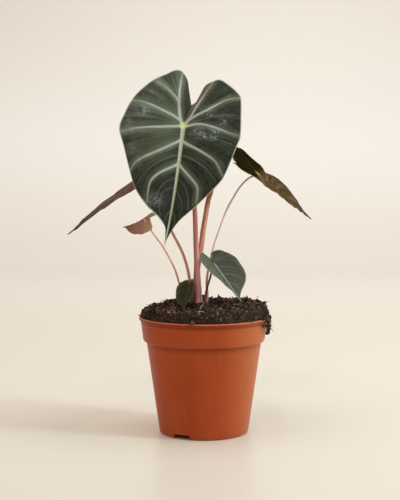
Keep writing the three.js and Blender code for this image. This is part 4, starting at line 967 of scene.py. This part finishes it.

# Screen colours of each finish: the base's streaks, its left half painted lighter as painted light, the halo
# by the veins, the veins, the midrib, the joint at the stalk, the lower face and its ribs, and where they
# show, the lobes, the strip by the notch, the outer part, the tip, and the painted glints and flecks of
# reflection on the puckers. The olive blade's lobes and the brown blade's outer part are painted shade. The
# shares say how strongly a colour shows, and an edge says from where to where it sets in, in millimetres
# along the blade.
# The pale blue-grey glint and near-white fleck colours below are painted reflections of the window light.
green_look = dict(
    dark=(12, 16, 6), mid=(43, 50, 30), lit_left_half=(90, 98, 76), halo=(112, 120, 97), tip=(20, 24, 12),
    tip_edge=[38, 125], painted_glint=(128, 141, 146), fleck=(186, 196, 200), vein=(168, 175, 160),
    midrib=(162, 170, 132), joint=(206, 208, 126), under=(104, 74, 64), under_vein=(152, 120, 104),
    lit_left_share=0.62, lit_left_fade=0.9, vein_share=0.9, midrib_share=1.0, contrast=1.0, roughness=0.42,
    gloss=0.2, coat=0.5, bump=0.7)
looks = {
    "leaf_main": ("dark_green_blade", {**green_look, "inner": (92, 70, 58)}),
    "leaf_back": ("dark_green_back_blade", {**green_look, "lit_left_share": 0.2}),
    # On the olive blade the near-black lobe colours are painted shade, for the shade the lobes lie in.
    "leaf_right": ("olive_blade", dict(
        dark=(52, 40, 24), mid=(92, 74, 48), lit_left_half=(88, 69, 45), halo=(120, 100, 72),
        vein=(132, 113, 82), midrib=(128, 109, 75), joint=(150, 140, 84), joint_reach=6.0,
        lobe=(14, 11, 0), lobe_light=(28, 22, 3), lobe_edge=[-5, 7, 0.83], lobe_stripes=0.1,
        lobe_below=0.0, under=(68, 52, 33), under_vein=(104, 86, 60), lit_left_share=0.2, vein_share=0.35,
        midrib_share=0.4, contrast=0.5, roughness=0.4, gloss=0.0, coat=0.0, bump=0.6)),
    "leaf_left": ("brown_blade", dict(
        dark=(80, 62, 42), mid=(122, 105, 75), lit_left_half=(108, 90, 64), halo=(138, 122, 92),
        outer=(70, 48, 36), vein=(150, 132, 100), midrib=(140, 120, 92), joint=(160, 140, 100),
        lobe=(96, 62, 54), lobe_light=(124, 88, 76), lobe_edge=[5, 45, 0], lobe_stripes=0.3,
        lobe_below=1.0, tip=(74, 62, 46), tip_edge=[70, 104], under=(92, 66, 52),
        under_vein=(132, 106, 84), lit_left_share=0.2, vein_share=0.4, midrib_share=0.5, contrast=0.4,
        roughness=0.45, gloss=0.05, coat=0.0, bump=0.5)),
    "leaf_small_left": ("young_brown_blade", dict(
        dark=(112, 78, 60), mid=(142, 106, 86), lit_left_half=(128, 94, 74), halo=(150, 118, 98),
        vein=(176, 146, 126), midrib=(168, 136, 114), joint=(186, 130, 108), lobe=(146, 122, 96),
        lobe_light=(178, 150, 122), lobe_edge=[-3, 4, 0], lobe_stripes=0.6, lobe_below=1.0,
        tip=(112, 80, 54), tip_edge=[7, 22], under=(140, 112, 88), under_vein=(172, 104, 86),
        lit_left_share=0.2, vein_share=0.4, midrib_share=0.6, contrast=0.3, roughness=0.42, gloss=0.2,
        coat=0.0, bump=0.5)),
    "leaf_small_right": ("grey_green_blade", dict(
        dark=(48, 53, 38), mid=(64, 70, 54), lit_left_half=(96, 96, 74), halo=(92, 98, 80),
        vein=(132, 138, 122), midrib=(168, 168, 156), joint=(70, 76, 58), under=(118, 108, 84),
        under_vein=(156, 146, 118), lit_left_share=0.9, vein_share=0.28, midrib_share=0.8, contrast=0.5,
        roughness=0.42, gloss=0.25, coat=0.0, bump=0.35)),
    "leaf_small_front": ("young_dark_blade", dict(
        dark=(28, 34, 10), mid=(44, 50, 20), lit_left_half=(40, 46, 18), halo=(58, 64, 34),
        vein=(74, 78, 46), midrib=(84, 86, 52), joint=(96, 92, 54), under=(92, 72, 52),
        under_vein=(120, 98, 72), lit_left_share=0.2, vein_share=0.3, midrib_share=0.5, contrast=0.5,
        roughness=0.36, gloss=0.2, coat=0.1, bump=0.3)),
}

# Each blade's record slot, and the columns round and rows across of its grid.
made_as = {
    "leaf_main": ("leaf_dark_green", 209, 70),
    "leaf_back": ("leaf_dark_green", 171, 52),
    "leaf_right": ("leaf_olive", 171, 52),
    "leaf_left": ("leaf_brown", 171, 52),
    "leaf_small_left": ("leaf_brown", 114, 34),
    "leaf_small_right": ("leaf_grey_green", 133, 44),
    "leaf_small_front": ("leaf_dark_green", 114, 34),
}
for name, leaf in leaves.items():
    slot, columns, rows = made_as[name]
    blade = make_blade(name, leaf, columns, rows)
    dress(blade, leaf_finish(*looks[name]), slot, name)

# The leaf stalks.
# Smooth, fleshy stalks, pink in the light and browner towards the soil. The first stalk wraps round the
# second one at its foot in an open sheath, and a small pink scale stands at the foot beside them.


def curve_through(points, count):
    """A smooth curve through points: each span is a cubic whose end slopes come from its neighbours, with
    knots spaced by the square root of the distance, so that it doesn't overshoot in short spans. The radius
    goes straight from point to point."""
    points = np.asarray(points, float)
    path, radius = points[:, :3], points[:, 3]
    path = np.concatenate([[2 * path[0] - path[1]], path, [2 * path[-1] - path[-2]]])
    knot = np.sqrt(np.linalg.norm(np.diff(path, axis=0), axis=1))
    t = np.linspace(0, len(points) - 1, count)
    i = np.minimum(t.astype(int), len(points) - 2)
    f = (t - i)[:, None]
    p, q, r, s = (path[i + k] for k in range(4))
    before, here, after = (knot[i + k][:, None] for k in range(3))
    start = ((q - p) / before - (r - p) / (before + here) + (r - q) / here) * here
    end = ((r - q) / here - (s - q) / (here + after) + (s - r) / after) * here
    square, cube = 3 * (r - q) - 2 * start - end, 2 * (q - r) + start + end
    line = q + start * f + square * f ** 2 + cube * f ** 3
    return line, np.interp(t, np.arange(len(points)), radius)


def tube(line, radius, sides, shape=None):
    """A closed tube round a curve. Its rings stand square to the curve and start from one fixed direction,
    laid flat on each ring, so that they hardly turn. The shape changes the radius by angle and height."""
    ahead = np.gradient(line, axis=0)
    ahead /= np.linalg.norm(ahead, axis=1)[:, None]
    front = np.array([0.05, -1.0, 0.02]) - ahead * (ahead @ [0.05, -1.0, 0.02])[:, None]
    front /= np.linalg.norm(front, axis=1)[:, None]
    aside = np.cross(ahead, front)
    around = np.linspace(0, 2 * np.pi, sides, endpoint=False)
    reach = radius[:, None] * (1 if shape is None else shape(around[None], line[:, 2:]))
    points = (line[:, None] + (np.cos(around)[None] * reach)[..., None] * front[:, None]
              + (np.sin(around)[None] * reach)[..., None] * aside[:, None])
    caps = [np.tile(line[k], (sides, 1)) for k in (0, -1)]
    points = np.concatenate([caps[0], points.reshape(-1, 3), caps[1]])
    return points, join_rings(len(line) + 2, sides)


def sheath(angle, height):
    """The open sheath round the foot of the stalk: a layer a tenth thicker, whose free edge climbs from the
    left of the front to the right, and which fades out above the place where the second stalk leaves."""
    edge = -0.9 + 1.9 * np.clip((height - 112) / 50, 0, 1)
    layer = 1 / (1 + np.exp(-14 * np.sin(angle - edge)))
    fade = np.clip((168 - height) / 30, 0, 1) * np.clip((height - 90) / 20, 0, 1)
    return 1 + 0.1 * layer * fade


def joined(parts):
    """Several meshes as one: points one after another, corner numbers moved on by the points before them."""
    counts = np.cumsum([0] + [len(points) for points, _ in parts])
    return (np.concatenate([points for points, _ in parts]),
            np.concatenate([triangles + start for (_, triangles), start in zip(parts, counts)]))


def stalk_finish(name, pink, shade, foot, foot_top, flank=None, painted_shade_edge=None):
    """Fleshy skin: long streaks and small flecks on the stalk's colour, darker and browner near the soil.
    Where a flank is given, the foot gets painted shade along its left edge and painted light on its right
    flank."""
    finish = Finish(name, **{"Specular IOR Level": 0.5, "Subsurface Weight": 0.08,
                             "Subsurface Radius": (0.003, 0.0012, 0.0008), "Subsurface Scale": 1.0})
    place, height = finish.place(), finish.metres("Z")
    streak = finish.noise(finish.stretched(place, (900.0, 900.0, 30.0)), 1.0, 3.0)
    fleck = finish.noise(finish.stretched(place, (1100.0, 1100.0, 420.0)), 1.0, 2.0)
    blotch = finish.noise(place, 60.0, 4.0) * 0.012
    low = 1 - (height + blotch).between(0.117, foot_top)
    tone = finish.over(
        finish.mix(streak.between(0.35, 0.68), pink, shade),
        (fleck.between(0.62, 0.72) * 0.35, foot),
        (low * 0.85, foot))
    # Painted shade on the foot's left edge and painted light on its right flank, for the key light from the
    # right.
    if flank:
        lower, sideways = 1 - height.between(0.155, 0.192), finish.metres("X") + blotch * 0.1
        tone = finish.over(
            tone,
            ((1 - sideways.between(-0.0104, -0.0064)) * lower * 0.8, painted_shade_edge),
            (sideways.between(-0.0080, -0.0040) * lower * 0.85, flank))
    finish.feed("Base Color", tone)
    finish.feed("Roughness", 0.36 + streak * 0.16)
    finish.bump(streak + fleck * 0.4, 0.18, 0.0003)
    return finish


# Points of the stalks, x, y, z and radius, from inside the soil up to the blade. A stalk stops half a
# millimetre under its blade.
BLADE_GAP = 0.5
MAIN_RINGS, SECOND_RINGS, STALK_RINGS, SCALE_RINGS, ROOT_RINGS = 220, 170, 130, 24, 50
MAIN_SIDES, SECOND_SIDES, STALK_SIDES, ROOT_SIDES = 28, 22, 14, 8
main_line = [
    (-7, 1, 97, 3.4), (-6.5, 0, 109, 4.8), (-6.5, 0, 121, 4.7), (-6.6, 0, 133, 4.1), (-6.6, 0, 147, 3.1),
    (-6.6, 0, 159, 2.7), (-7.6, 0, 180, 2.4), (-8.6, 0, 209, 2.2), (-11, 1, 243, 2.0),
    (-14.7, -1, 270, 2.0), (-18.2, -9, 284, 2.1), (-18.9, -15, 286.5, 2.1)]
second_line = [
    (-6.6, 0, 140, 2.2), (-5.8, 0.4, 155, 2.6), (-2.5, 2, 174, 2.5), (-0.9, 4, 187, 2.5),
    (1.4, 8, 200.7, 2.4), (4.1, 13, 216.5, 2.3), (7.1, 17, 226, 2.2), (8.5, 24, 245, 2.0),
    (3.5, 28, 261, 1.9), (-3.4, 33, 268.5, 1.8), (-4.5, 34.8, 269.4, 1.8)]
scale_line = [
    (-9.5, -1.5, 104, 2.2), (-10.4, -3.2, 114, 2.4), (-11.4, -4.6, 119, 1.9), (-12.6, -5.4, 123.5, 0.4)]
stalk_lines = {
    "stalk_right": [
        (-0.5, 4, 97, 1.2), (2, 5, 109, 1.5), (2.6, 5, 120, 1.4), (3.1, 5, 129, 1.3), (2.6, 5, 140, 1.2),
        (4.3, 6, 153, 1.15), (9.4, 8, 173.5, 1.1), (14.1, 10, 187.3, 1.05), (22, 14, 208.2, 1.0),
        (27.5, 16, 218.3, 0.95), (33.9, 18, 228.4, 0.9), (40.1, 20.5, 235, 0.9),
        (45.2, 22.5, 238.4, 0.9), (51.2, 24, 239.8, 0.9), (52.6, 24.2, 240.9, 0.9)],
    "stalk_left": [
        (-11, 3.5, 97, 1.6), (-12, 4, 109, 1.8), (-12.2, 4.5, 120, 1.8), (-12.8, 5, 132, 1.6),
        (-13.8, 5.5, 144, 1.5), (-15.6, 6, 153, 1.45), (-18.6, 7, 163, 1.4), (-22.9, 8, 173, 1.4),
        (-29.8, 10, 186, 1.35), (-39.8, 15, 206, 1.3), (-48.6, 22.5, 225.5, 1.2),
        (-52.3, 29.6, 238.2, 1.2), (-52.7, 31.4, 242, 1.2)],
    "stalk_small_left": [
        (-14, 1.5, 97, 1.0), (-17.5, 5.5, 109, 1.2), (-18.8, 6.5, 119.2, 1.1), (-20.6, 6, 129.6, 1.0),
        (-23.5, 4.5, 139.7, 0.95), (-26.3, 2, 149.7, 0.9), (-30.3, -1.5, 159.3, 0.85),
        (-38.6, -9, 175, 0.8), (-46.3, -15.5, 186.2, 0.8), (-53, -19.5, 197.6, 0.8),
        (-54.5, -17, 200.2, 0.8), (-54.3, -13.5, 200.1, 0.8)],
    "stalk_small_right": [
        (-2, -3.6, 97, 0.9), (0, -5, 109, 1.2), (0.3, -5, 121.8, 1.2), (2.1, -5, 131.8, 1.1),
        (3.7, -5, 138.5, 1.0), (5.6, -5.6, 144.5, 0.95), (7.2, -8.5, 152, 0.9), (7.8, -12.8, 159, 0.9),
        (7.9, -14.6, 161.8, 0.9)],
    "stalk_small_front": [
        (-14.6, -3, 97, 0.9), (-15.6, -4, 109, 1.1), (-16, -4.5, 121, 1.0), (-15.7, -5.2, 131, 0.9),
        (-14.8, -7.2, 138, 0.85), (-13.4, -10, 141.4, 0.8), (-12.8, -12.1, 142.6, 0.8)],
}


def up_to_blade(line, radius, leaf):
    """The stretch of a stalk that ends just before it meets the flat of its blade."""
    normal = leaf_directions(leaf)[2]
    end = np.nonzero((line - leaf["at"]) @ normal < -BLADE_GAP)[0].max() + 1
    return line[:end], radius[:end]


# Its last two colours are the painted light of the foot's right flank and the painted shade of its left edge.
pink_skin = stalk_finish("pink_stalk_skin", paint(196, 122, 114), paint(176, 98, 92), paint(132, 46, 39),
                         0.152, paint(255, 190, 182), paint(92, 36, 28))
warm_skin = stalk_finish("warm_stalk_skin", paint(206, 144, 108), paint(188, 120, 90),
                         paint(176, 98, 80), 0.15)
pale_skin = stalk_finish("pale_stalk_skin", paint(254, 230, 214), paint(246, 208, 190),
                         paint(170, 108, 90), 0.165)
rosy_skin = stalk_finish("rosy_stalk_skin", paint(232, 182, 160), paint(210, 150, 130),
                         paint(170, 102, 86), 0.15)
dark_skin = stalk_finish("dark_stalk_skin", paint(124, 72, 58), paint(100, 54, 44), paint(84, 44, 34), 0.13)

main_path = up_to_blade(*curve_through(main_line, MAIN_RINGS), leaves["leaf_main"])
main_parts = [tube(*main_path, MAIN_SIDES, sheath),
              tube(*curve_through(scale_line, SCALE_RINGS), STALK_SIDES)]
main_stalks = make_piece("main_stalks", *joined(main_parts))
dress(main_stalks, pink_skin, "pink_stalk", "main_stalks")
second_path = up_to_blade(*curve_through(second_line, SECOND_RINGS), leaves["leaf_back"])
second_stalk = make_piece("second_stalk", *tube(*second_path, SECOND_SIDES))
dress(second_stalk, warm_skin, "pink_stalk")
for name, line in stalk_lines.items():
    path = up_to_blade(*curve_through(line, STALK_RINGS), leaves[name.replace("stalk", "leaf")])
    stalk = make_piece(name, *tube(*path, STALK_SIDES))
    small = name in ("stalk_small_right", "stalk_small_front")
    finish = dark_skin if small else pale_skin if name == "stalk_right" else rosy_skin
    dress(stalk, finish, "dark_stalk" if small else "pink_stalk", name)

# A fine pale root that lies on the heap and hangs over the rim in front.
root_line = [
    (-0.5, -9, 120.5, 0.3), (-0.2, -14, 122.6, 0.3), (-1.0, -26, 122.3, 0.26), (-2.4, -38, 122.1, 0.24),
    (-3.6, -47, 121, 0.24), (-4.2, -53.5, 119.2, 0.22), (-5.0, -57.5, 116.4, 0.16)]
pale_root = make_piece("pale_root", *tube(*curve_through(root_line, ROOT_RINGS), ROOT_SIDES))
root_look = Finish("root_skin", Roughness=0.6)
hairy = root_look.noise(root_look.place(), 700.0, 3.0)
tone = root_look.mix(hairy.between(0.35, 0.7), paint(206, 196, 178), paint(150, 130, 108))
root_look.feed("Base Color", tone)
root_look.bump(hairy, 0.5, 0.0003)
dress(pale_root, root_look, "corm_skin")

# The studio.
# A pale sweep of paper with a faint reflection, which curves up behind the plant. The key light stands at
# the right, with a fill at the left, a window in front, a wide light overhead and one that washes the
# backdrop. The camera looks slightly down from a metre away.

SWEEP_COLUMNS, SWEEP_ROWS = 9, 60
SWEEP_SIDE, SWEEP_FRONT, FLOOR_LENGTH = 3.2, -1.6, 3.2
FLOOR_SHARE, BEND_SHARE, BEND_RADIUS = 0.55, 0.25, 0.9
WALL_START, WALL_SHARE, WALL_HEIGHT = 0.8, 0.2, 2.2
CAMERA_PLACE, CAMERA_PITCH, CAMERA_LENS, SENSOR_HEIGHT = (-0.0037, -1.014, 0.2423), 4.06, 78.62, 36.0

across, profile = np.linspace(-SWEEP_SIDE, SWEEP_SIDE, SWEEP_COLUMNS), np.linspace(0, 1, SWEEP_ROWS)
bend = np.clip((profile - FLOOR_SHARE) / BEND_SHARE, 0, 1) * np.pi / 2
back = SWEEP_FRONT + np.minimum(profile, FLOOR_SHARE) / FLOOR_SHARE * FLOOR_LENGTH
back = back + BEND_RADIUS * np.sin(bend)
rise = BEND_RADIUS * (1 - np.cos(bend)) + np.maximum(profile - WALL_START, 0) / WALL_SHARE * WALL_HEIGHT
sweep_points = np.stack(np.broadcast_arrays(across[None], back[:, None], rise[:, None]), -1).reshape(-1, 3)
sweep_mesh = bpy.data.meshes.new("sweep")
sweep_triangles = join_rings(SWEEP_ROWS, SWEEP_COLUMNS, closed=False)
sweep_mesh.from_pydata(sweep_points.tolist(), [], sweep_triangles.tolist())
sweep_mesh.shade_smooth()
sweep = bpy.data.objects.new("sweep", sweep_mesh)
bpy.context.scene.collection.objects.link(sweep)

# Painted light: the paper's floor is warmer and lighter close round the pot, a painted pool that lifts the
# shade there. Painted shade makes the floor darker towards the front and the wall darker higher up, so the
# wall is palest low down.
paper = Finish("sweep_paper", Roughness=0.34, **{"Specular IOR Level": 0.2})
mottle = paper.noise(paper.place(), 1.5, 2.0)
sideways, depth, height = (paper.metres(axis) for axis in "XYZ")
# Painted light: a pool of lighter, warmer paper painted round the pot's foot.
painted_pool_distance = (sideways + 0.025) * (sideways + 0.025) + (depth - 0.012) * (depth - 0.012)
# Painted shade: the floor is painted darker in front and lighter from half a metre behind the pot.
flat_tone = paper.over(
    paper.mix(mottle, paint(207, 198, 185), paint(211, 203, 190)),
    (depth.between(0.5, 1.5), paint(226, 221, 213)),
    ((1 - painted_pool_distance.between(0.0028, 0.011)) * 0.6, paint(236, 224, 204)))
# Painted shade: the wall is painted darker higher up.
wall_tone = paper.mix(height.between(0.2, 0.85), paint(240, 238, 235), paint(224, 220, 213))
paper.feed("Base Color", paper.mix(height.between(-0.1, 0.4), flat_tone, wall_tone))
sweep_mesh.materials.append(paper.material)
sweep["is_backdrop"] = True


def soft_light(name, place, target, size, power, colour):
    """A square area light at a place, turned to face a target."""
    lamp = bpy.data.lights.new(name, "AREA")
    lamp.size, lamp.energy, lamp.color = size, power, colour
    holder = bpy.data.objects.new(name, lamp)
    direction = np.array(target) - np.array(place)
    tilt = math.atan2(math.hypot(direction[0], direction[1]), -direction[2])
    holder.rotation_euler = (tilt, 0, math.atan2(direction[1], direction[0]) - math.pi / 2)
    holder.location = place
    bpy.context.scene.collection.objects.link(holder)


soft_light("key", (1.36, -0.52, 0.76), (0, 0, 0.14), 0.3, 15.5, (0.7, 0.89, 1.0))
soft_light("left_fill", (-1.7, -0.9, 1.0), (-0.15, 0, 0), 1.4, 5, (1.0, 0.92, 0.82))
soft_light("window", (-0.195, -1.12, 1.44), (0, 0, 0.27), 0.2, 3.5, (0.93, 0.97, 1.0))
soft_light("overhead", (0.1, 0.1, 2.3), (0, 0.05, 0), 2.2, 12, (1.0, 0.93, 0.83))
soft_light("backdrop_wash", (0.4, 0.3, 1.9), (0.2, 2.4, 0.55), 1.6, 25, (0.95, 0.99, 1.0))
world = bpy.data.worlds.new("room")
world.use_nodes = True
world.node_tree.nodes["Background"].inputs[0].default_value = (1.0, 0.86, 0.73, 1)
world.node_tree.nodes["Background"].inputs[1].default_value = 0.55
bpy.context.scene.world = world
bpy.context.scene.view_settings.view_transform = "Standard"

lens = bpy.data.cameras.new("camera")
lens.sensor_fit, lens.sensor_height, lens.lens = "VERTICAL", SENSOR_HEIGHT, CAMERA_LENS
camera = bpy.data.objects.new("camera", lens)
camera.location = CAMERA_PLACE
camera.rotation_euler = (math.radians(90 - CAMERA_PITCH), 0, 0)
bpy.context.scene.collection.objects.link(camera)
bpy.context.scene.camera = camera

dressed_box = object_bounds()
({"solid": [list(corner) for corner in solid_box],
           "dressed": [list(corner) for corner in dressed_box]})
